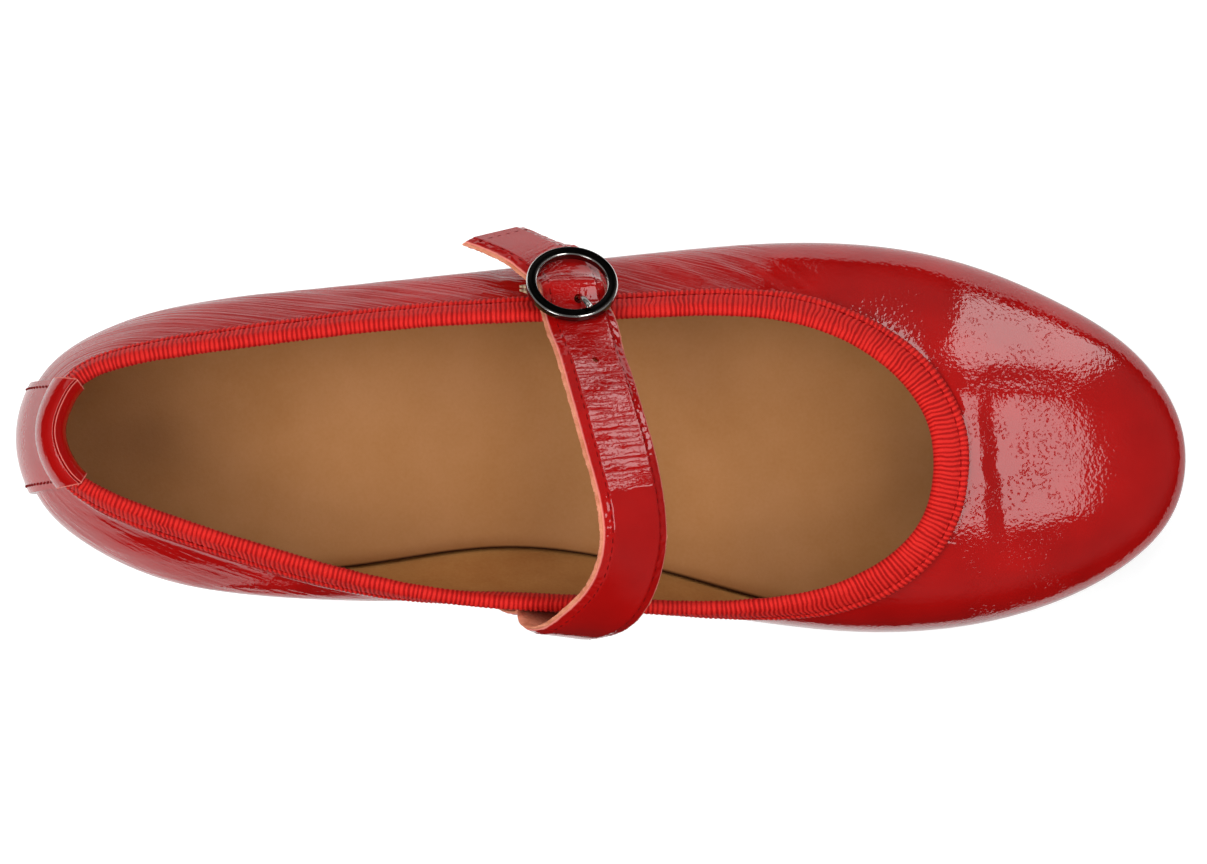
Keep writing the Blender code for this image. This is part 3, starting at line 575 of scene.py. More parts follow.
def patent_leather(name, wave_mm, wave_depth, pebble_depth, pit_mm, pit_depth, crease_mm=0.0):
    """Leather under a thick clear lacquer: a saturated red with soft-edged mirror highlights,
    broken up by its waves, pebble and pores. A cut edge, marked raw, shows the undyed hide
    without lacquer. A strip creases across where marked worn; the upper is streaked."""
    made, tree, shader = new_material(
        name, {"Roughness": 0.5, "Specular IOR Level": 0.0, "Coat Roughness": 0.07, "Coat IOR": 1.55}
    )
    place = add(tree, "TexCoord", out="Object")
    raw, worn, streaked, along, across = (
        add(tree, "Attribute", out="Fac", attribute_name=mark)
        for mark in ("raw", "worn", "streaked", "along", "across")
    )
    waves = add(tree, "TexNoise", {"Vector": place, "Scale": per(wave_mm), "Detail": 1.0})
    pebble = add(tree, "TexNoise", {"Vector": place, "Scale": per(PEBBLE), "Detail": 1.0})
    grain = {"Scale": per(pit_mm), "Detail": 1.0, "Roughness": 0.6, "Distortion": 0.4}
    pores = add(
        tree,
        "MapRange",
        {
            "Value": add(tree, "TexNoise", {"Vector": place, **grain}),
            "From Min": 0.56,
            "From Max": 0.74,
            "To Min": 1.0,
            "To Max": 0.0,
        },
        interpolation_type="SMOOTHSTEP",
    )
    patchy = add(tree, "MapRange", {"Value": waves, "From Min": 0.38, "From Max": 0.58})
    patchy = add(tree, "Math", {0: patchy, 1: worn}, operation="MULTIPLY")
    tone = add(tree, "TexNoise", {"Vector": place, "Scale": 0.06 / MM, "Detail": 3.0})
    dyed = add(tree, "ValToRGB", {"Fac": tone})
    set_ramp(dyed, (0.3, linear("#980807")), (0.7, linear("#AA0C0A")))
    hide = linear("#DE8276")
    colour = add(tree, "Mix", {0: raw, 6: dyed, 7: hide}, out=2, data_type="RGBA")
    lacquer = add(tree, "Math", {0: 1.0, 1: raw}, operation="SUBTRACT")
    swell = add(tree, "Bump", {"Height": waves, "Distance": wave_depth * MM})
    surface = add(tree, "Bump", {"Height": pebble, "Distance": pebble_depth * MM, "Normal": swell})
    surface = add(
        tree,
        "Bump",
        {"Height": pores, "Strength": patchy, "Distance": pit_depth * MM, "Normal": surface},
    )
    spot = add(tree, "CombineXYZ", {"X": along, "Y": across})
    if crease_mm:
        surface, lacquer = crease_across(tree, spot, surface, lacquer, worn, crease_mm)
    else:
        surface, lacquer = streak(tree, spot, surface, lacquer, streaked)
    plug(shader, {"Base Color": colour, "Coat Weight": lacquer, "Coat Normal": surface, "Normal": swell})
    return made


def grosgrain_ribbon():
    """Ribbed polyester ribbon: matt with a faint sheen; each rib is wound from fine threads. Its colour
    carries painted shade and light: darker in the rib valleys and between threads, lighter on their crests.
    """
    made, tree, shader = new_material(
        "grosgrain_ribbon",
        {"Roughness": 0.75, "Sheen Weight": 0.03, "Sheen Roughness": 0.4, "Specular IOR Level": 0.15},
    )
    place = add(tree, "TexCoord", out="Object")
    rib = add(tree, "Attribute", out="Fac", attribute_name="rib")
    # the threads are drawn twice as coarse as real ones, so that they show
    threads = add(tree, "TexNoise", {"Vector": place, "Scale": 2.6 / MM, "Detail": 2.0})
    dye = add(tree, "TexNoise", {"Vector": place, "Scale": 0.12 / MM, "Detail": 2.0})
    # painted shade and light: the colour follows the thread and rib heights, dark in the hollows and light
    # on the crests, plus the dye's random tone
    height = add(tree, "Math", {0: threads, 1: 0.35, 2: rib}, operation="MULTIPLY_ADD")
    tone = add(tree, "Math", {0: dye, 1: 0.3, 2: height}, operation="MULTIPLY_ADD")
    colour = add(tree, "ValToRGB", {"Fac": tone})
    set_ramp(colour, (0.2, linear("#8A0A08")), (0.7, linear("#B4100E")), (23 / 24, linear("#D42620")))
    bump = add(tree, "Bump", {"Height": threads, "Strength": 0.8, "Distance": 0.08 * MM})
    plug(shader, {"Base Color": colour, "Normal": bump})
    return made


def grained_leather(name, dark, light, rough, grain_mm=0.55, depth_mm=0.03, mottle_mm=14.0):
    """Vegetable-tanned leather: matt, finely grained, with soft mottling. Where a rim is marked,
    painted shade turns it dark brown, standing for the shadowed crevice beside the wall."""
    made, tree, shader = new_material(name, {"Roughness": rough, "Specular IOR Level": 0.12})
    place = add(tree, "TexCoord", out="Object")
    grain = add(tree, "TexVoronoi", {"Vector": place, "Scale": per(grain_mm)}, out="Distance")
    cloud = {"Scale": per(mottle_mm), "Detail": 5.0, "Roughness": 0.6}
    mottle = add(tree, "TexNoise", {"Vector": place, **cloud})
    fine = add(tree, "TexNoise", {"Vector": place, "Scale": 1.3 / MM, "Detail": 3.0})
    tone = add(tree, "Math", {0: fine, 1: 0.35, 2: mottle}, operation="MULTIPLY_ADD")
    tanned = add(tree, "ValToRGB", {"Fac": tone})
    set_ramp(tanned, (0.45, linear(dark)), (0.9, linear(light)))
    # painted shade: the marked rim turns dark brown, standing for the shadow in the crevice between footbed
    # and lining
    edge = add(tree, "Attribute", out="Fac", attribute_name="burnished")
    edge = add(tree, "MapRange", {"Value": edge, "From Min": 0.42, "From Max": 0.8})
    brown = linear("#3A200E")
    colour = add(tree, "Mix", {0: edge, 6: tanned, 7: brown}, out=2, data_type="RGBA")
    bump = add(tree, "Bump", {"Height": grain, "Strength": 0.7, "Distance": depth_mm * MM})
    plug(shader, {"Base Color": colour, "Normal": bump})
    return made


def dark_nickel():
    """Black nickel plate: a black mirror, polished through to bright metal where marked."""
    made, tree, shader = new_material("dark_nickel_plate", {"Metallic": 1.0})
    place = add(tree, "TexCoord", out="Object")
    bright = add(tree, "Attribute", out="Fac", attribute_name="bright")
    colour = add(tree, "ValToRGB", {"Fac": bright})
    set_ramp(colour, (0.0, linear("#171514")), (0.5, linear("#6B6663")), (1.0, linear("#DAD6D2")))
    wear = add(tree, "TexNoise", {"Vector": place, "Scale": 0.7 / MM, "Detail": 4.0})
    rough = add(tree, "MapRange", {"Value": wear, "To Min": 0.10, "To Max": 0.26})
    plug(shader, {"Base Color": colour, "Roughness": rough})
    return made


def woven_elastic():
    """Braided rubber webbing in undyed cotton."""
    made, tree, shader = new_material(
        "woven_elastic", {"Roughness": 0.85, "Sheen Weight": 0.2, "Specular IOR Level": 0.2}
    )
    place = add(tree, "TexCoord", out="Object")
    # its bands are 1.05 mm apart
    braid = {"Scale": 0.3 / MM, "Distortion": 1.5, "Detail": 1.0, "Detail Scale": 3.0}
    weave = add(tree, "TexWave", {"Vector": place, **braid}, out="Fac", bands_direction="X")
    colour = add(tree, "ValToRGB", {"Fac": weave})
    set_ramp(colour, (0.1, linear("#8C7656")), (0.8, linear("#CDB694")))
    bump = add(tree, "Bump", {"Height": weave, "Strength": 0.8, "Distance": 0.12 * MM})
    plug(shader, {"Base Color": colour, "Normal": bump})
    return made


def moulded_rubber():
    """Moulded rubber, dark brown, with a fine tread on its walked faces."""
    made, tree, shader = new_material("moulded_rubber", {"Roughness": 0.62, "Specular IOR Level": 0.3})
    place = add(tree, "TexCoord", out="Object")
    stipple = add(tree, "TexVoronoi", {"Vector": place, "Scale": 0.42 / MM}, out="Distance")
    scuff = add(tree, "TexNoise", {"Vector": place, "Scale": 0.045 / MM, "Detail": 5.0})
    colour = add(tree, "ValToRGB", {"Fac": scuff})
    set_ramp(colour, (0.35, linear("#2E211A")), (0.7, linear("#46342A")))
    bump = add(tree, "Bump", {"Height": stipple, "Strength": 0.6, "Distance": 0.22 * MM})
    plug(shader, {"Base Color": colour, "Normal": bump})
    return made


def polyester_thread(name, dark, light):
    """Twisted sewing thread: matt, a little lighter along each ply."""
    made, tree, shader = new_material(name, {"Roughness": 0.7, "Specular IOR Level": 0.05})
    place = add(tree, "TexCoord", out="Object")
    twist = add(tree, "TexNoise", {"Vector": place, "Scale": 3.0 / MM, "Detail": 1.0})
    colour = add(tree, "ValToRGB", {"Fac": twist})
    set_ramp(colour, (0.35, linear(dark)), (0.65, linear(light)))
    plug(shader, {"Base Color": colour})
    return made


PATENT = patent_leather("patent_leather", 7.0, 0.1, 0.055, 0.8, 0.08)
STRAP_PATENT = patent_leather("strap_patent", 6.0, 0.04, 0.04, 0.5, 0.13, crease_mm=0.34)
RIBBON = grosgrain_ribbon()
FOOTBED = grained_leather("footbed_leather", "#A06E40", "#AA784C", 0.7, 0.45, 0.02, 20.0)
LINING = grained_leather("lining_leather", "#9A6434", "#AC7844", 0.7)
RAW_EDGE = grained_leather("raw_cut_leather", "#BE6E4E", "#E2967A", 0.9, 0.35, 0.09, 2.5)
NICKEL = dark_nickel()
ELASTIC = woven_elastic()
RUBBER = moulded_rubber()
RED_THREAD = polyester_thread("red_thread", "#780909", "#9E1212")
DARK_THREAD = polyester_thread("dark_thread", "#5E0506", "#860B0C")


# ---------------------------------------------------------------- upper
# Folds given in plan: from (x, y) to (x, y), width and height of the ridge.
FOLDS = (
    # long creases of the outer quarter, from the heel forwards
    (14, 15.5, 52, 25.5, 1.4, 0.22),
    (18, 19.5, 60, 27.5, 1.5, 0.24),
    (24, 24.0, 74, 30.0, 1.6, 0.22),
    (34, 20.8, 84, 27.8, 1.3, 0.16),
    (40, 27.5, 92, 33.2, 1.8, 0.20),
    (58, 24.5, 104, 30.0, 1.3, 0.14),
    (70, 30.5, 108, 34.8, 1.5, 0.16),
    # long creases of the inner quarter
    (16, -15.0, 48, -26.5, 1.4, 0.22),
    (22, -18.0, 62, -30.0, 1.5, 0.22),
    (30, -20.5, 76, -32.8, 1.3, 0.18),
    (20, -23.0, 58, -32.5, 1.7, 0.20),
    (44, -24.0, 84, -33.8, 1.2, 0.14),
    # slanting folds beside the buckle, on the outer side
    (122, 38.4, 137, 33.2, 1.1, 0.20),
    (127, 39.0, 142, 33.6, 1.2, 0.26),
    (131, 39.6, 146, 33.8, 1.1, 0.22),
    (136, 40.0, 151, 34.0, 1.2, 0.24),
    (140, 40.4, 155, 34.4, 1.1, 0.18),
    (145, 40.8, 161, 34.2, 1.2, 0.20),
    (150, 41.0, 167, 33.8, 1.1, 0.14),
    # puckers where the elastic is sewn in
    (104, 36.5, 111, 34.0, 1.3, -0.5),
    (106, 34.5, 112, 33.0, 1.2, 0.55),
    (103, 33.0, 111, 32.0, 1.1, -0.35),
    # bends across the vamp
    (206, 11.5, 234, 11.0, 3.4, -0.22),
)


def fold_height(x, y):
    """Height of the listed folds at places in plan; each bows a little to one side."""
    total = np.zeros_like(x)
    for x0, y0, x1, y1, width, height in FOLDS:
        dx, dy = x1 - x0, y1 - y0
        length = math.hypot(dx, dy)
        t = ((x - x0) * dx + (y - y0) * dy) / length**2
        bow = 0.05 * length * np.sin(np.clip(t, 0, 1) * math.pi)
        side = ((x - x0) * dy - (y - y0) * dx) / length + bow
        ends = smooth_step(t / 0.3 + 0.15) * smooth_step((1 - t) / 0.3 + 0.15)
        total += height * ends * np.exp(-((side / width) ** 2))
    return total


def relief_height(u, outer, wide, x, y, round_run):
    """Height of the patent's folds, creases and flats off the lasted wall."""
    seam_run = run_length(skin(u, [BINDING_WIDTH + 2.0])[0][:, 0])[:, None]
    on_top = smooth_step((wide - outer) / 4.0)
    height = fold_height(x, y) * on_top * smooth_step((outer - 4.0) / 2.0)
    # fine creases that slant down the quarters
    quarter = bump_over(x, 24.0, 108.0, 18.0) * bump_over(outer, 7.0, 24.0, 4.0)
    from_heel = np.minimum(round_run, round_run[-1] - round_run)
    crease = soft_noise((from_heel + STREAK_SLANT * outer) / 3.4, outer / 14.0 + 40.0, 3)
    height += (0.07 + 0.05 * (y > 0)) * crease * quarter * on_top
    # short slanting folds beside the buckle, and puckers at the throat's corners
    folds = bump_over(x, 120.0, 168.0, 14.0) * (y > 0) * bump_over(outer, 7.0, 15.0, 3.0)
    slant = soft_noise((round_run + 1.3 * outer) / 2.4, outer / 14.0, 5)
    height += 0.16 * slant * folds
    corner = bump_over(x, 170.0, 203.0, 6.0) * bump_over(outer, 6.0, 8.5, 1.5)
    ruck = soft_noise(seam_run / 0.75 + 0.3 * outer, outer / 1.3, 7)
    height += 0.13 * np.maximum(ruck - 0.3, 0.0) * corner
    # the vamp flattens beside the throat's outer corner
    past = x - 199.0
    flatter = np.where(
        past > 0.0,
        past * np.exp(-((past / 11.0) ** 2)),
        -4.4 * (1.0 - np.exp(np.minimum(past, 0.0) / 4.4)) * smooth_step((60.0 + past) / 50.0),
    )
    flatter = flatter * smooth_step((y - 3.0) / 6.0) * smooth_step((40.0 - y) / 20.0)
    height += 0.14 * flatter * smooth_step((outer - BINDING_WIDTH + 0.8) / 2.0) * on_top
    # the vamp bends in one sharp step across, further on where it is widest
    uneven = 0.6 * soft_noise(round_run / 4.0, outer / 4.0, 9)
    reach = 3.8 + 0.12 * np.clip(-y, 0.0, 30.0)
    step = smooth_step((x - VAMP_BEND_X + 0.05 * y + uneven) / reach)
    step *= smooth_step((10.0 - y) / 6.0) * smooth_step((y + 30.0) / 6.0)
    height -= 0.62 * step * np.exp(-(np.maximum(x - VAMP_BEND_X - 3.7, 0.0) / 14.0) ** 2)
    # the inner quarter swells in a thin lip under the ribbon
    inner_side = bump_over(x, 14.0, 112.0, 14.0) * smooth_step((-y - 8.0) / 6.0)
    height += 0.3 * np.exp(-(((outer - BINDING_WIDTH - 1.0) / 0.75) ** 2)) * inner_side
    # the ribbon's seam pulls the skin down along its edge
    height -= 0.1 * np.exp(-(((outer - BINDING_WIDTH + 0.1) / 0.7) ** 2)) * (1.0 - corner)
    return height


def patent_marks(outer, wide, x, y, round_run, shape):
    """Where the patent is worn and streaked, and its own two directions, at every point of a
    band of this shape whose first columns are the outer face."""
    from_heel = np.minimum(round_run, round_run[-1] - round_run)
    between = 1.0 - 0.8 * np.exp(-(((y - 12.5) / 3.0) ** 2))
    between = between + 0.9 * np.exp(-(((x - 217.0) / 4.0) ** 2) - ((y + 6.0) / 9.0) ** 2)
    outer_side = bump_over(x, 8.0, 155.0, 14.0)
    inner_side = 0.6 * bump_over(x, 8.0, 112.0, 12.0)
    marks = {
        "worn": smooth_step((x - 203.0) / 6.0) * smooth_step((234.0 - x) / 9.0) * between,
        # streaks are steep on the outer quarter and nearly level on the inner one
        "along": np.where(y > 0, from_heel + STREAK_SLANT * outer, outer - 0.1 * from_heel),
        "across": np.where(y > 0, outer, from_heel),
        "streaked": np.where(y > 0, outer_side, inner_side) * smooth_step((wide - outer) / 4.0),
    }
    # the inner face has none of them
    none = np.zeros((shape[0], shape[1] - outer.shape[1]))
    return {mark: np.concatenate([values, none], axis=1) for mark, values in marks.items()}


def make_upper():
    """The patent skin: its outer face down to the lasting margin, and back up inside."""
    sections, inner_points_down = 860, 13
    fine = np.linspace(0.0, ROWS, 3001)
    # sections lie closer together round the toe
    dense = np.cumsum(1.0 + 1.7 * bump_over(fine, 8.5, 21.0, 1.5))
    dense -= dense[0]
    u = np.interp(np.arange(sections) / sections * dense[-1], dense, fine)
    wide, feather = (run[:, None] for run in widest_run(u))
    end = feather + LASTING_MARGIN - 0.3
    crown = wide * np.linspace(0.0, 1.0, 77) ** 1.15
    skirt = wide + (feather - wide) * np.linspace(0, 1, 21)[1:]
    margin = feather + (end - feather) * np.array([0.3, 0.65, 1.0])
    outer = np.concatenate([crown, skirt, margin], axis=1)
    outer_face, normal = skin(u, outer)
    x, y = outer_face[..., 0], outer_face[..., 1]
    round_run = run_length(outer_face[:, 20])[:, None]
    height = relief_height(u, outer, wide, x, y, round_run)
    height *= smooth_step((outer - 0.3) / 2.0) * smooth_step((feather - outer) / 2.0 + 0.5)
    outer_face = outer_face + normal * height[..., None]
    inner_face = skin(u, end * np.linspace(1.0, 0.0, inner_points_down), -PATENT_SKIN)[0]
    places = np.concatenate([outer_face, inner_face], axis=1)
    marks = patent_marks(outer, wide, x, y, round_run, places.shape)
    return dress(closed_band("upper_patent", places, **marks), PATENT, "patent_leather", "upper")


def make_lining():
    """Lining leather, glued inside the patent skin down to the footbed, a little wavy."""
    u = ROWS * np.arange(360) / 360
    end = widest_run(u)[1][:, None] + LASTING_MARGIN - 2.5
    down = end * np.linspace(0.02, 1.0, 40)
    face, normal = skin(u, down, -WALL)
    round_run = run_length(np.vstack([face[:, 12], face[:1, 12]]))[:-1, None]
    wave = 0.16 * soft_noise(round_run / 9.0, down / 7.0, 11)
    face = face + normal * (wave * bump_over(down, 8.0, 200.0, 4.0))[..., None]
    back = skin(u, end * np.linspace(1.0, 0.02, 8), -PATENT_SKIN - 0.04)[0]
    piece = closed_band("lining", np.concatenate([face, back], axis=1))
    return dress(piece, LINING, "footbed_leather")


# ---------------------------------------------------------------- ribbed ribbon round the collar
def make_binding():
    """Grosgrain ribbon folded over the collar's edge, every rib modelled and none quite alike,
    with its line of stitches."""
    length = even_rows(8, 3.0, 0.8)[1]
    ribs_round, per_rib = int(round(length / RIB_PITCH)), 5
    count = ribs_round * per_rib
    u, _ = even_rows(count, 3.0, 0.8)
    place = np.arange(count)[:, None]
    rib = np.sin(math.pi * (place / per_rib % 1.0)) ** 2
    outside, inside, tape = 0.42, -WALL - 0.12, 0.55
    spots = np.array(       # distance below the collar's edge, off the wall
        [
            (BINDING_WIDTH + 0.15, outside + 0.05),
            (BINDING_WIDTH + 0.1, outside + tape * 0.7),
            (BINDING_WIDTH - 0.7, outside + tape),
            (BINDING_WIDTH - BINDING_STITCH_IN + 0.45, outside + tape - 0.02),
            (BINDING_WIDTH - BINDING_STITCH_IN, outside + tape - 0.3),
            (BINDING_WIDTH - BINDING_STITCH_IN - 0.5, outside + tape),
            (BINDING_WIDTH * 0.42, outside + tape + 0.1),
            (1.3, outside + tape),
            (0.0, outside + tape * 0.85),
            (-0.75, outside * 0.8),
            (-1.12, -0.25 * WALL),
            (-1.12, -0.75 * WALL),
            (-0.75, inside + 0.05),
            (0.0, inside - tape * 0.75),
            (1.4, inside - tape * 0.9),
            (3.4, inside - tape * 0.9),
            (5.3, inside - tape * 0.75),
            (5.5, inside),
            (2.0, -WALL + 0.05),
            (-0.35, -0.6 * WALL),
            (-0.35, -0.3 * WALL),
            (1.0, 0.1),
            (BINDING_WIDTH * 0.6, 0.12),
        ]
    )
    shows = np.arange(len(spots)) < 17     # the rest lie against the wall

    def wander(cells, spread, seed):
        """Irregularity round the collar and across the ribbon, closed on itself."""
        return soft_noise(place * cells / count, spots[None, :, 0] / spread + 7.0, seed, wrap=cells)

    edge = 0.25 * wander(ribs_round // 9, 40.0, 13) * smooth_step(spots[:, 0] / 3) * shows
    smooth, normal = skin(u, spots[:, 0] + edge, spots[:, 1])
    # each rib leans and crowds its neighbour by its own amount
    at = place + per_rib * (0.3 * wander(ribs_round // 5, 2.5, 14) + 0.14 * wander(ribs_round, 1.6, 15))
    low = np.floor(at).astype(int)
    part, k = (at - low)[..., None], np.arange(len(spots))[None, :]
    after = (low + 1) % count
    smooth, normal = (a[low % count, k] * (1 - part) + a[after, k] * part for a in (smooth, normal))
    swell = RIB_DEPTH * (rib - 0.6) * (1.0 + 0.4 * wander(ribs_round, 4.0, 16)) * shows
    swell = swell + 0.07 * wander(ribs_round // 4, 3.0, 17) * shows
    # painted shade and light: this mark colours the ribbon dark in the valleys between ribs and light on
    # their crests, with a random spread
    tone = np.clip(rib + 0.16 * wander(ribs_round, 5.0, 18), 0.0, 1.0)
    piece = closed_band("collar_ribbon", smooth + normal * swell[..., None], rib=tone)
    dress(piece, RIBBON, "grosgrain", "collar_binding")
    count = int(length / STITCH_PITCH)
    seam = BINDING_WIDTH - BINDING_STITCH_IN
    u, _ = even_rows(count, seam, 0.8)
    middles, out = skin(u, [seam], outside + tape - 0.2)
    along = skin(u + 0.02, [seam], 0.8)[0] - skin(u - 0.02, [seam], 0.8)[0]
    sew("ribbon_stitches", middles[:, 0], along[:, 0], out[:, 0], RED_THREAD, "grosgrain", 0.34)


# ---------------------------------------------------------------- strips at the heel
def across_heel(below, off, width, count):
    """Points on a level line round the heel, evenly spaced over a true width."""
    rows = np.linspace(-3.4, 3.4, 121)
    line = skin(rows, [below], off)[0][:, 0]
    run = run_length(line)
    run -= np.interp(0.0, rows, run)
    wanted = np.linspace(-width / 2, width / 2, count)
    return np.interp(wanted, run, rows)


def heel_strip(name, stations, width, thick, node, raw_ends=0.0):
    """Leather strip over the heel; its stations are (below the collar, off the wall, raw), from
    its lower edge upwards."""
    count = 72
    places = np.empty((count, len(stations), 3))
    for k, (below, off, _) in enumerate(stations):
        u = across_heel(below, max(off, 0.0), width, count)[::-1]
        places[:, k] = skin(u, [below], off)[0][:, 0]
    raw = np.tile([station[2] for station in stations], (count, 1))
    raw[[0, -1]] = np.maximum(raw[[0, -1]], raw_ends)
    piece = from_grid(name, places, raw=raw)
    apply_modifier(piece, "SOLIDIFY", thickness=thick * MM, offset=-1.0, use_rim=True)
    face_out(piece)
    smooth_by_angle(piece, 50)
    return dress(piece, PATENT, "patent_leather", node)


def make_heel_strips():
    """Strip down the back seam, and the folded tab with a raised double ridge along its top, coloured pale
    and unlacquered on its two crests.
    """
    low = widest_run(np.array([0.0]))[1][0] - 2.4
    downs = np.linspace(low, BINDING_WIDTH + 0.6, 30)
    heel_strip("backstay_patent", [(d, 1.35, 0.0) for d in downs], BACKSTAY_WIDTH, 0.9, "backstay")
    tab = (             # distance below the collar, off the wall, raw
        (6.0, 2.45, 1.0),
        (5.9, 2.7, 1.0),
        (5.5, 2.82, 0.0),
        (4.0, 2.92, 0.0),
        (2.6, 2.88, 0.0),
        (1.6, 2.72, 0.0),
        (0.8, 2.46, 0.0),
        (0.0, 2.1, 0.0),
        (-0.7, 1.65, 0.0),
        (-1.3, 1.2, 0.0),
        (-1.8, 0.78, 0.0),
        (-2.05, 0.5, 0.0),
        (-2.15, 0.36, 0.0),
        # the ridge's two crests are coloured pale and left unlacquered by the raw mark
        (-2.17, 0.29, 0.5),
        (-2.15, 0.2, 0.0),
        (-1.85, 0.08, 0.0),
        (-1.82, -0.02, 0.0),
        (-2.34, -0.14, 0.0),
        (-2.46, -0.26, 0.9),
        (-2.47, -0.32, 0.4),
        (-2.42, -0.46, 0.0),
        (-2.25, -0.66, 0.0),
        (-1.75, -1.5, 0.0),
        (-1.0, -2.4, 0.0),
        (0.0, -2.95, 0.0),
        (2.0, -3.1, 0.0),
        (5.0, -3.1, 0.0),
        (8.0, -3.1, 0.0),
    )
    heel_strip("heel_tab_patent", tab, TAB_WIDTH, 0.6, "heel_tab", raw_ends=1.0)
    # seams down both edges of the strip
    downs = np.arange(BINDING_WIDTH + 3.4, low - 1.0, STITCH_LENGTH + 0.1)
    for k, name in enumerate(("backstay_stitches_inner", "backstay_stitches_outer")):
        rows = np.array([across_heel(d, 1.4, BACKSTAY_WIDTH - 3.2, 2)[k] for d in downs])
        middles, out = skin(rows, downs[:, None], 1.3)
        along = skin(rows, downs[:, None] + 0.5, 1.3)[0] - middles
        sew(name, middles[:, 0], along[:, 0], out[:, 0], DARK_THREAD, "patent_leather", 0.62)


# ---------------------------------------------------------------- sole, heel and footbed
def feather_at(u, offset):
    """Feather line moved outwards in plan by offset."""
    row = last_at(u)
    inward = plan_inward(u, "out_x", "out_y")
    move = (row["inset"] - offset)[:, None]
    return np.stack([row["out_x"], row["out_y"]], axis=-1) + inward[:, :2] * move


def ladder(loop, columns):
    """Sheet inside a closed loop that runs heel, outer side, toe, inner side: rungs across."""
    half = len(loop) // 2
    outer, inner = loop[: half + 1], np.vstack([loop[:1], loop[:half - 1:-1]])
    t = 0.5 - 0.5 * np.cos(np.linspace(0.0, math.pi, columns))
    t = 0.5 * t + 0.5 * np.linspace(0, 1, columns)
    return outer[:, None, :] + (inner - outer)[:, None, :] * t[None, :, None]


def slab(name, loop, top, bottom, columns, bevel):
    """Closed slab between two height functions, with rounded rims."""
    plan = ladder(loop, columns)
    places = np.concatenate([plan, top(plan[..., 0], plan[..., 1])[..., None]], axis=2)
    piece = from_grid(name, places)
    apply_modifier(piece, "SOLIDIFY", thickness=MM, offset=-1.0, use_rim=True)
    mesh = piece.data
    count = len(mesh.vertices)
    place = np.empty(count * 3, np.float32)
    mesh.vertices.foreach_get("co", place)
    place = place.reshape(-1, 3).astype(float)
    half = count // 2
    place[half:, :2] = place[:half, :2]
    x, y = place[half:, 0] / MM + HEEL_REST_X, place[half:, 1] / MM
    place[half:, 2] = bottom(x, y) * MM
    mesh.vertices.foreach_set("co", place.astype(np.float32).ravel())
    mesh.update()
    face_out(piece)
    sharp = {"limit_method": "ANGLE", "angle_limit": math.radians(50)}
    apply_modifier(piece, "BEVEL", width=bevel * MM, segments=3, **sharp)
    return smooth_by_angle(piece, 45)


def make_sole():
    """Rubber outsole with its lip, and the heel block with the line of its top piece."""
    loop = feather_at(ROWS * np.arange(240) / 240, SOLE_LIP)
    sole = slab("rubber_outsole", loop, lambda x, y: sole_top(x), lambda x, y: ground_line(x), 28, 0.7)
    dress(sole, RUBBER, "rubber", "outsole")
    fine = ROWS * np.arange(480) / 480
    wide = feather_at(fine, SOLE_LIP)
    keep_out = [i for i in range(240) if wide[i, 0] < HEEL_BREAST_X - 1.0]
    keep_in = [i for i in range(240, 480) if wide[i, 0] < HEEL_BREAST_X - 1.0]
    levels = (              # in from the sole's edge, height
        (0.9, HEEL_HEIGHT - 0.05),
        (0.9, 5.4),
        (0.83, 5.2),
        (0.83, 5.0),
        (0.9, 4.8),
        (1.2, 4.4),
        (HEEL_TAPER, 0.8),
        (HEEL_TAPER + 0.35, 0.25),
        (HEEL_TAPER + 0.9, 0.0),
    )
    rings = []
    for inset, height in levels:
        loop = feather_at(fine, SOLE_LIP - inset)
        outer, inner = loop[keep_out], loop[keep_in]
        y0, y1 = outer[-1, 1], inner[0, 1]
        t = np.linspace(0.0, 1.0, 33)
        breast = np.stack([HEEL_BREAST_X - 3.0 * np.sin(math.pi * t), y0 + (y1 - y0) * t], axis=-1)
        ring = np.vstack([inner, outer, breast])
        rings.append(np.concatenate([ring, np.full((len(ring), 1), height)], axis=1))
    # flat faces first, then the wall, so that the ends close flat
    centre = rings[0].mean(axis=0)
    first = centre + (rings[0] - centre) * [0.5, 0.5, 0.0]
    first[:, 2] = rings[0][:, 2]
    last = centre + (rings[-1] - centre) * [0.5, 0.5, 0.0]
    last[:, 2] = 0.0
    heel = smooth_by_angle(from_sphere("rubber_heel", np.array([first] + rings + [last])), 35)
    dress(heel, RUBBER, "rubber", "heel")


def inside_wall(u, lift, clearance):
    """Plan points inside the wall, at a height above the sole's top face."""
    downs = np.linspace(0.4, 1.0, 60)[None, :] * (widest_run(u)[1] + 1.0)[:, None]
    line = skin(u, downs, -WALL - clearance)[0]
    over = line[..., 2] - sole_top(line[..., 0])
    found = np.empty((len(u), 2))
    for i in range(len(u)):
        for k in range(2):
            found[i, k] = np.interp(-lift, -over[i], line[i, :, k])
    return found


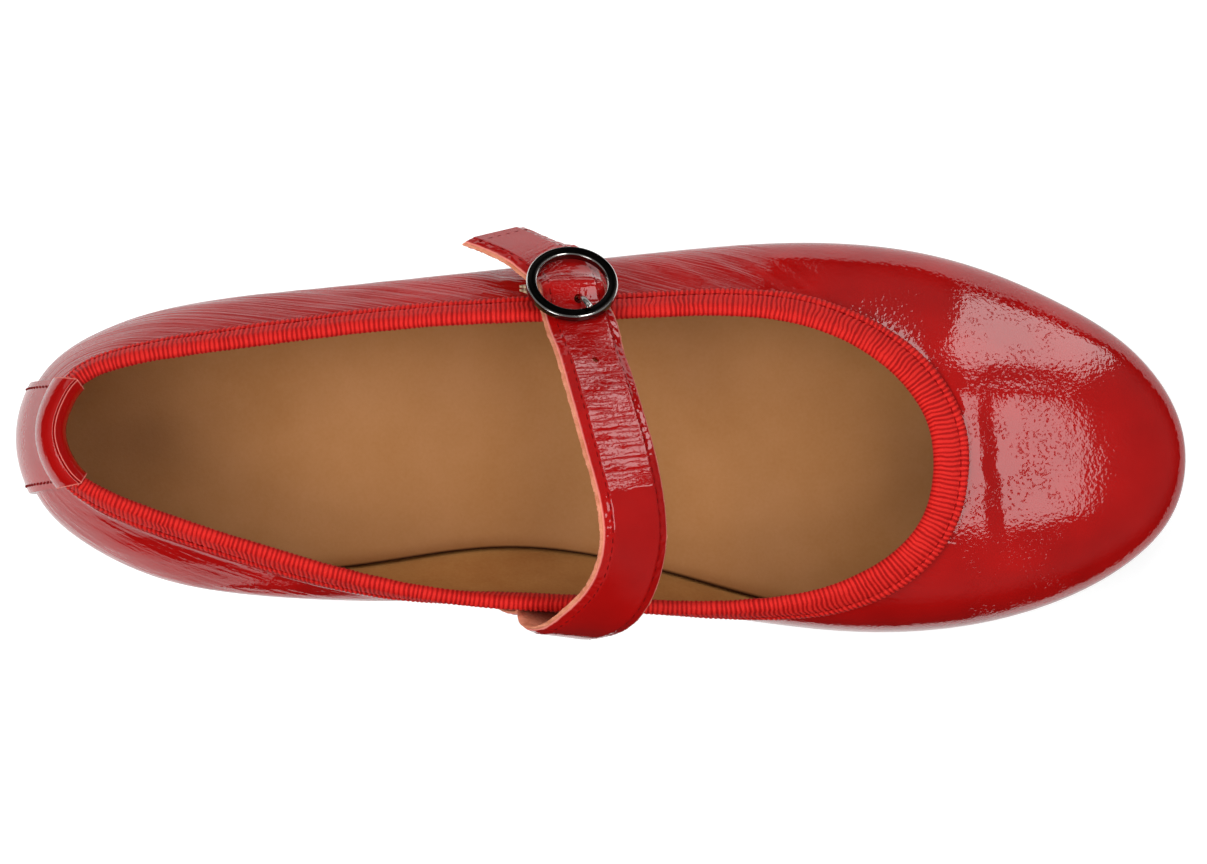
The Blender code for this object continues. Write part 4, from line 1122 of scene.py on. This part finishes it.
def make_footbed():
    """Leather-covered footbed: dished under heel and ball, turned down at its edge."""
    u = ROWS * np.arange(300) / 300
    loop = inside_wall(u, INSOLE_TOP, 0.75)
    # it stands back from the wall by 1 along the arch
    loop[:, 1] += bump_over(loop[:, 0], 58.0, 170.0, 14.0) * (loop[:, 1] < 0)
    plan = ladder(loop, 44)
    side = np.linspace(-1.0, 1.0, 44)
    span = np.linalg.norm(plan[:, -1] - plan[:, 0], axis=1)
    edge = (1.0 - np.abs(side))[None, :] * span[:, None] / 2
    from_end = run_length(0.5 * (plan[:, 0] + plan[:, -1]))
    edge = np.minimum(edge, np.minimum(from_end, from_end[-1] - from_end)[:, None] * 1.2)
    x, y = plan[..., 0], plan[..., 1]
    drop = 0.9 * np.exp(-((edge / 1.1) ** 2))
    heel = 0.5 * np.exp(-(((x - 30) / 20) ** 2) - (y / 15) ** 2)
    ball = 0.35 * np.exp(-(((x - 175) / 22) ** 2) - ((y + 2) / 24) ** 2)
    uneven = 0.12 * soft_noise(x / 17.0, y / 12.0 + 40.0, 23)
    top = sole_top(x) + INSOLE_TOP - drop - heel - ball + uneven
    places = np.concatenate([plan, top[..., None]], axis=2)
    # painted shade: the rim along the arch is marked to be coloured dark brown, standing for the shadowed
    # crevice beside the lining
    rim = (np.abs(side)[None, :] > 0.999) * (y < 0) * bump_over(x, 62.0, 166.0, 10.0)
    piece = from_grid("footbed", places, burnished=rim)
    apply_modifier(piece, "SOLIDIFY", thickness=2.2 * MM, offset=-1.0, use_rim=True)
    face_out(piece)
    smooth_by_angle(piece, 60)
    return dress(piece, FOOTBED, "footbed_leather", "insole")


# ---------------------------------------------------------------- strap and buckle
def buckle_axes():
    """Across the strap, along it to the outside, and out of the ring."""
    tilt, turn, skew = (math.radians(a) for a in (BUCKLE_TILT, BUCKLE_TURN, STRAP_SKEW))
    hinge = np.array([math.cos(turn), -math.sin(turn), 0.0])
    normal = np.array([math.sin(tilt) * math.sin(turn), math.sin(tilt) * math.cos(turn), math.cos(tilt)])
    fall = np.cross(normal, hinge)
    along = fall * math.cos(skew) - hinge * math.sin(skew)
    return np.cross(along, normal), along, normal


def in_buckle(across, along, height):
    """Points from places in the buckle's own three directions."""
    axes = buckle_axes()
    across, along, height = (np.asarray(v, float)[..., None] for v in (across, along, height))
    return np.array(BUCKLE_CENTRE) + axes[0] * across + axes[1] * along + axes[2] * height


def in_prong(along, height):
    """Points on the prong's own line, swung in the ring's plane."""
    swing, along = math.radians(PRONG_SWING), np.asarray(along, float)
    return in_buckle(-along * math.sin(swing), along * math.cos(swing), height)


def strap_stations():
    """Evenly spaced (centre, across, out, tangent, distance) along the strap, as arrays."""
    centres, widths = [], []
    for u, below, off in STRAP_ROOT:
        point, flat = skin(np.array([u]), [below], off)
        across = np.array(STRAP_ROOT_ACROSS)
        centres.append(point[0, 0])
        widths.append(unit(across - flat[0, 0] * across.dot(flat[0, 0])))
    in_ring = [(*in_buckle(*place), *buckle_axes()[0]) for place in STRAP_IN_BUCKLE]
    for row in (*STRAP, *in_ring, *STRAP_TAIL):
        centres.append(row[:3])
        widths.append(row[3:])
    params = run_length(np.array(centres))
    wanted = np.linspace(0.0, params[-1], int(params[-1] / STRAP_STEP))
    line = open_curve(centres, params, wanted)
    across = open_curve(widths, params, wanted)
    tangent = unit(np.gradient(line, axis=0))
    across = unit(across - tangent * (across * tangent).sum(axis=1, keepdims=True))
    return line, across, np.cross(across, tangent), tangent, wanted


STRAP_STATIONS = strap_stations()
STRAP_LENGTH = STRAP_STATIONS[-1][-1]


def on_strap(stations, v, height):
    """Points v across the strap, as on its widest part, at a height over its middle layer."""
    line, across, out, tangent, run = stations
    inside = np.exp(-((np.linalg.norm(line - BUCKLE_CENTRE, axis=1) / 8.0) ** 2))[:, None]
    wide = STRAP_WIDTH_ROOT + (STRAP_WIDTH - STRAP_WIDTH_ROOT) * smooth_step(run / 110.0)
    share = v / (STRAP_WIDTH / 2)
    sideways = (wide[:, None] / 2 - STRAP_PINCH * inside) * share
    slant = TAIL_SLANT * smooth_step((run - STRAP_LENGTH + 12.0) / 12.0)[:, None] * share
    places = line[:, None] + across[:, None] * sideways[..., None] - tangent[:, None] * slant[..., None]
    return places + out[:, None] * (height - STRAP_CROWN * inside * share**2)[..., None]


def strap_relief(stations, v):
    """Height added to the strap's top: two sewn grooves, uneven edges and a soft swell; and
    where it has worn."""
    run, place_y = stations[-1][:, None], stations[0][:, 1:2]
    half = STRAP_WIDTH / 2
    seam = half - STRAP_STITCH_IN
    uneven = 0.3 + 0.12 * soft_noise(run / 0.9, v / 4.0 + 17.0, 47)
    groove = -0.16 * smooth_step((np.abs(v) - seam + uneven) / 0.5)
    slope = -0.45 * np.clip((np.abs(v) - seam) / STRAP_STITCH_IN, 0.0, 1.0)
    middle = smooth_step((seam - 0.2 - np.abs(v)) / 0.8)
    worn = bump_over(place_y, -9.0, 38.0, 4.0)
    in_ring = bump_over(place_y, 27.0, 38.0, 2.0)
    worn = worn * (1.0 - in_ring * smooth_step((v + 0.5) / 2.0))
    swell = 0.05 * soft_noise(run / 3.5, v / 5.0 + 3.0, 31) * (0.3 + worn)
    rough = 0.09 * soft_noise(run / 0.75, v / 0.8 + 30.0, 37)
    edge = rough * smooth_step((np.abs(v) - seam - 0.2) / 0.5)
    return groove + slope + edge + middle * swell, middle * worn


def cut_holes(piece, cutters):
    """Drills round holes; each is (start, end, radius)."""
    for start, end, radius in cutters:
        middle = ((start + end) / 2 - [HEEL_REST_X, 0.0, 0.0]) * MM
        axis = unit(end - start)
        turn = (math.acos(axis[2]), math.atan2(axis[1], axis[0]))
        bpy.ops.object.select_all(action="DESELECT")
        bpy.ops.mesh.primitive_cylinder_add(
            vertices=24,
            radius=radius * MM,
            depth=float(np.linalg.norm(end - start)) * MM,
            location=middle,
            rotation=(0.0, turn[0], turn[1]),
        )
        cutter = bpy.context.active_object
        apply_modifier(piece, "BOOLEAN", operation="DIFFERENCE", solver="EXACT", object=cutter)
        bpy.data.objects.remove(cutter)


def make_strap():
    """Patent skin on a raw hide backing that stands out along the heel side."""
    half, thick = STRAP_WIDTH / 2, STRAP_THICK / 2
    prong_hole = (in_prong(-2.9, -4.6), in_prong(-4.3, 2.4), HOLE_RADIUS - 0.2)
    line, _, out, _, run = STRAP_STATIONS
    in_ring = run[np.argmin(np.linalg.norm(line - in_prong(-3.5, -2.0), axis=1))]
    i = int(np.argmin(np.abs(run - in_ring + HOLE_PITCH)))
    spare_hole = (line[i] - out[i] * 2.0, line[i] + out[i] * 2.0, HOLE_RADIUS * 0.6)
    v = np.linspace(-half + 0.4, half - 0.4, 41)
    v = np.concatenate([[-half, -half + 0.1], v, [half - 0.1, half]])
    under = v[::-4]
    top = np.full(len(v), thick)
    top[[0, -1]], top[[1, -2]] = thick - 0.3, thick - 0.06
    heights = np.concatenate([top, np.full(len(under), -0.02)])[None, :]
    v = np.concatenate([v, under])[None, :]
    is_top = np.arange(v.shape[1]) < len(top)
    relief, worn = (part * is_top for part in strap_relief(STRAP_STATIONS, v))
    along, across = run[:, None] + 0.0 * v, v + 0.0 * run[:, None]
    raw = np.tile(((np.abs(v) > half - 0.15) | ~is_top).astype(float), (len(run), 1))
    raw[:2] = 1.0
    marks = {"raw": raw, "worn": worn, "along": along, "across": across}
    patent = from_sphere("strap_patent", on_strap(STRAP_STATIONS, v, heights + relief), **marks)
    cut_holes(patent, [prong_hole, spare_hole])
    smooth_by_angle(patent, 50)
    dress(patent, STRAP_PATENT, "strap_leather", "strap")
    edge = np.array(
        [
            (-half - 0.2, -0.02),
            (-half - 0.55, -0.14),
            (-half - 0.7, -0.45),
            (-half - 0.3, -thick + 0.05),
            (-half / 2, -thick),
            (half / 2, -thick),
            (half - 0.02, -thick + 0.05),
            (half + 0.14, -0.5),
            (half + 0.06, -0.1),
            (half / 2, -0.06),
            (-half / 2, -0.06),
        ]
    )
    fibres = lattice(41, (len(run), len(edge)))
    fibres = 0.5 * (fibres + soft_noise(run[:, None] / 1.6, edge[None, :, 1] * 2.0 + 11.0, 43))
    at_edge = (np.abs(edge[:, 0]) > half - 0.1) * 0.16
    backing_v = edge[None, :, 0] + fibres * at_edge
    backing_height = edge[None, :, 1] + 0.5 * fibres * at_edge
    backing = from_sphere("strap_backing", on_strap(STRAP_STATIONS, backing_v, backing_height))
    cut_holes(backing, [prong_hole, spare_hole])
    smooth_by_angle(backing, 50)
    dress(backing, RAW_EDGE, "strap_leather")
    # a seam down each edge, and one across the tail's end
    seam = half - STRAP_STITCH_IN
    wanted = np.arange(6.0, run[-1] - 3.0, STITCH_PITCH)
    at = np.array([int(np.argmin(np.abs(run - w))) for w in wanted])
    stitched = [part[at] for part in STRAP_STATIONS]
    for side, name in ((-1.0, "strap_stitches_heel_side"), (1.0, "strap_stitches_toe_side")):
        middles = on_strap(stitched, np.full((len(at), 1), side * seam), thick - 0.2)[:, 0]
        sew(name, middles, stitched[3], stitched[2], DARK_THREAD, "strap_leather", 0.36)
    last = [part[[-1 - int(STRAP_STITCH_IN / STRAP_STEP)]] for part in STRAP_STATIONS]
    across = np.linspace(-seam, seam, 6)[None, :]
    middles = on_strap(last, across, thick - 0.1)[0]
    along = np.broadcast_to(middles[-1] - middles[0], middles.shape)
    out = np.broadcast_to(last[2], middles.shape)
    sew("strap_stitches_end", middles, along, out, DARK_THREAD, "strap_leather", 0.36)


def bar(name, path, radius, flat=0.0, shine=0.62, tip_shine=0.0):
    """Round bar along a path, widened across by flat, polished by shine and more at its tip."""
    path = np.array(path)
    turns = 2 * math.pi * np.arange(16) / 16
    tangent = unit(np.gradient(path, axis=0))
    side = unit(np.cross(tangent, buckle_axes()[2]))
    other = np.cross(tangent, side)
    radius = np.broadcast_to(radius, len(path))[:, None, None]
    wide = (1.0 + np.broadcast_to(flat, len(path)))[:, None, None] * np.cos(turns)[None, :, None]
    rounds = side[:, None] * wide + other[:, None] * np.sin(turns)[None, :, None]
    polish = np.full((len(path), len(turns)), shine)
    polish[-5:] = np.maximum(shine, tip_shine)
    return dress(from_sphere(name, path[:, None] + rounds * radius, bright=polish), NICKEL, "gunmetal")


def make_buckle():
    """Round black-plated ring with two bright chamfers, its centre bar below, and the prong."""
    count = 160
    inner, outer, half = RING_INNER, RING_OUTER, RING_THICK / 2
    profile = np.array(
        [
            (inner, -half + 0.1),
            (inner + 0.15, -half),
            (outer - 0.2, -half),
            (outer, -half + 0.2),
            (outer, half - 0.34),
            (outer - 0.03, half - 0.28),
            (outer - 0.24, half - 0.03),
            (outer - 0.3, half),
            (inner + 0.26, half),
            (inner + 0.2, half - 0.03),
            (inner + 0.03, half - 0.24),
            (inner, half - 0.3),
        ]
    )
    angle = 2 * math.pi * np.arange(count)[:, None] / count
    r, h = profile[None, :, 0], profile[None, :, 1]
    places = in_buckle(r * np.cos(angle), r * np.sin(angle), h + 0.0 * angle)
    bright = np.tile([0.3, 0.3, 0.3, 0.5, 0.5, 1.0, 1.0, 0.0, 0.0, 1.0, 1.0, 0.4], (count, 1))
    ring = smooth_by_angle(closed_band("buckle_ring", places, bright=bright), 28)
    dress(ring, NICKEL, "gunmetal", "buckle_frame")
    # the bar's ends turn up into the ring on two short posts
    post = ((0.0, -0.3), (0.0, -1.3), (0.0, -2.4), (0.45, -BAR_DROP + 0.18), (1.1, -BAR_DROP))
    ends = [
        [in_buckle(side * (RING_INNER + 1.1 - way_in), 0.0, z) for way_in, z in post]
        for side in (-1.0, 1.0)
    ]
    level = [in_buckle(across, 0.0, -BAR_DROP) for across in np.linspace(-6, 6, 9)]
    bar("buckle_bar", ends[0] + level + ends[1][::-1], BAR_RADIUS)
    rows = np.array([in_prong(a, h) for a, h in PRONG_PATH])
    params = run_length(rows)
    line = open_curve(rows, params, np.linspace(0.0, params[-1], 60))
    radius = np.full(60, 0.5)
    radius[-2:] *= [0.97, 0.85]
    flat = 0.5 * smooth_step(np.linspace(-0.9, 1.0, 60))
    prong = bar("prong", line, radius, flat, 0.6, 1.0)
    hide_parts("buckle_prong")


def make_elastic():
    """Loop of webbing from the outer wall round the buckle's bar and back, slotted for the prong."""
    width, thick = ELASTIC_WIDTH, ELASTIC_THICK
    across = buckle_axes()[0]
    lower = GAP + 0.25 + thick / 2
    upper = lower + thick + GAP
    radius = BAR_RADIUS + 0.25 + thick / 2
    centre = in_buckle(0.0, 0.0, -BAR_DROP)
    foot = np.array([ELASTIC_ROOT_ROW])
    roots = [skin(foot, [ELASTIC_ROOT_DROP], off)[0][0, 0] for off in (lower, upper)]
    pull = unit((roots[0] + roots[1]) / 2 - centre)
    pull = unit(pull - across * pull.dot(across))
    side = np.cross(across, pull)
    arc = [centre + (side * math.cos(a) - pull * math.sin(a)) * radius for a in np.linspace(0, math.pi, 15)]
    path = [roots[1] + (arc[0] - roots[1]) * t for t in (0.0, 0.3, 0.6, 0.85)] + arc
    path += [roots[0] + (arc[-1] - roots[0]) * t for t in (0.85, 0.6, 0.3, 0.0)]
    path = np.array(path)
    tangent = unit(np.gradient(path, axis=0))
    out = unit(np.cross(across, tangent))
    for name, low, high in (("elastic_back", -width / 2, -1.5), ("elastic_front", 1.5, width / 2)):
        v = np.linspace(low, high, 8)
        profile = np.array([(a, thick / 2) for a in v] + [(a, -thick / 2) for a in v[::-1]])
        profile[[0, 7, 8, 15], 1] *= 0.6
        places = path[:, None] + across * profile[None, :, :1] + out[:, None] * profile[None, :, 1:]
        piece = smooth_by_angle(from_sphere(name, places), 50)
        dress(piece, ELASTIC, "elastic", *(["buckle_elastic"] if low < 0 else []))


make_upper()
make_lining()
make_binding()
make_heel_strips()
make_sole()
make_footbed()
make_strap()
make_buckle()
make_elastic()


# ---------------------------------------------------------------- floor, light and camera
def make_stage():
    """A wide white floor, and the white paper under the shoe that shows in the lacquer."""
    for name, look, place, size, shade, glow in (
        ("studio_floor", "white_floor", (0.1, 0.0, -0.0002), (6.0, 6.0), "#E6E6E6", 0.5),
        ("paper_sheet", "white_paper", (0.1, 0.109, 0.0), (0.5, 0.342), "#C4C4C4", 0.4),
        ("paper_at_heel", "white_paper_at_heel", (-0.071, -0.115, 0.0), (0.158, 0.106), "#C4C4C4", 0.4),
    ):
        matt = {"Roughness": 0.9, "Specular IOR Level": 0.2, "Base Color": linear(shade)}
        glowing = {"Emission Color": linear("#FFFFFF"), "Emission Strength": glow}
        paper = new_material(look, {**matt, **glowing})[0]
        bpy.ops.mesh.primitive_plane_add(size=1.0, location=place)
        bpy.ops.transform.resize(value=(*size, 1.0), center_override=place)
        bpy.ops.object.transform_apply(location=True, rotation=False, scale=True)
        sheet = bpy.context.active_object
        sheet.name = name
        sheet.data.materials.append(paper)
        sheet.visible_glossy = sheet.visible_diffuse = name != "studio_floor"
        sheet.visible_camera = name == "studio_floor"
        sheet.visible_shadow = False
    world = bpy.data.worlds.new("studio")
    bpy.context.scene.world = world
    world.use_nodes = True
    tree = world.node_tree
    direction = add(tree, "TexCoord", out="Generated")
    height = add(tree, "SeparateXYZ", {"Vector": direction}, out="Z")
    greys = ((0.0, 0.03), (0.3, 0.2), (0.6, 0.16), (1.0, 0.1))
    sky = add(tree, "ValToRGB", {"Fac": height})
    set_ramp(sky, *((position, (grey, grey, grey, 1.0)) for position, grey in greys))
    plug(tree.nodes["Background"], {"Color": sky})


def soft_box(name, azimuth, elevation, distance, width, height, radiance, shine=False):
    """Rectangular soft box that faces the shoe, level along its width. One for shine is only
    mirrored in the lacquer and the metal; the others only light."""
    turn, rise = math.radians(azimuth), math.radians(elevation)
    way = Vector((math.cos(turn) * math.cos(rise), math.sin(turn) * math.cos(rise), math.sin(rise)))
    light = bpy.data.lights.new(name, "AREA")
    light.shape = "RECTANGLE"
    light.size, light.size_y = width, height
    light.energy = radiance * math.pi * width * height
    lamp = bpy.data.objects.new(name, light)
    bpy.context.scene.collection.objects.link(lamp)
    lamp.location = Vector((0.18 if shine else 0.1, 0.0, 0.03)) + way * distance
    lamp.visible_glossy, lamp.visible_diffuse = shine, not shine
    lamp.rotation_euler = (-way).to_track_quat("-Z", "Y").to_euler()


def make_camera():
    """Long lens high over the shoe's inner side, aimed a little below its rim."""
    lens = bpy.data.cameras.new("camera")
    camera = bpy.data.objects.new("camera", lens)
    bpy.context.scene.collection.objects.link(camera)
    lens.sensor_width, lens.lens = 36.0, 188.0
    place, aim = Vector((0.0982, -0.0442, 1.4)), Vector((0.0982, 0.0015, 0.025))
    camera.location = place
    camera.rotation_euler = (aim - place).to_track_quat("-Z", "Y").to_euler()
    lens.clip_start, lens.clip_end = 0.05, 20.0
    bpy.context.scene.camera = camera


make_stage()
# name, azimuth and elevation in degrees, distance, width and height in metres, radiance
for row in (
    ("strip_box_at_toe", 5.0, 62.8, 1.5, 1.2, 0.46, 3.7),
    ("box_at_outer_side", 59.0, 24.0, 1.5, 0.6, 1.0, 4.2),
    ("box_at_heel", 215.0, 40.0, 1.6, 0.6, 0.7, 3.0),
    ("low_card_outer", 112.0, 7.0, 1.5, 1.3, 0.4, 0.6),
):
    soft_box(*row, shine=True)
for row in (
    ("fill_outer", 90.0, 45.0, 2.2, 1.5, 1.5, 2.5),
    ("fill_inner", -90.0, 45.0, 2.2, 1.5, 1.5, 3.5),
    ("fill_toe", 0.0, 60.0, 2.2, 1.5, 1.5, 2.2),
    ("fill_heel", 180.0, 48.0, 2.2, 1.5, 1.5, 3.9),
):
    soft_box(*row)
make_camera()
scene = bpy.context.scene
scene.view_settings.view_transform = "Standard"
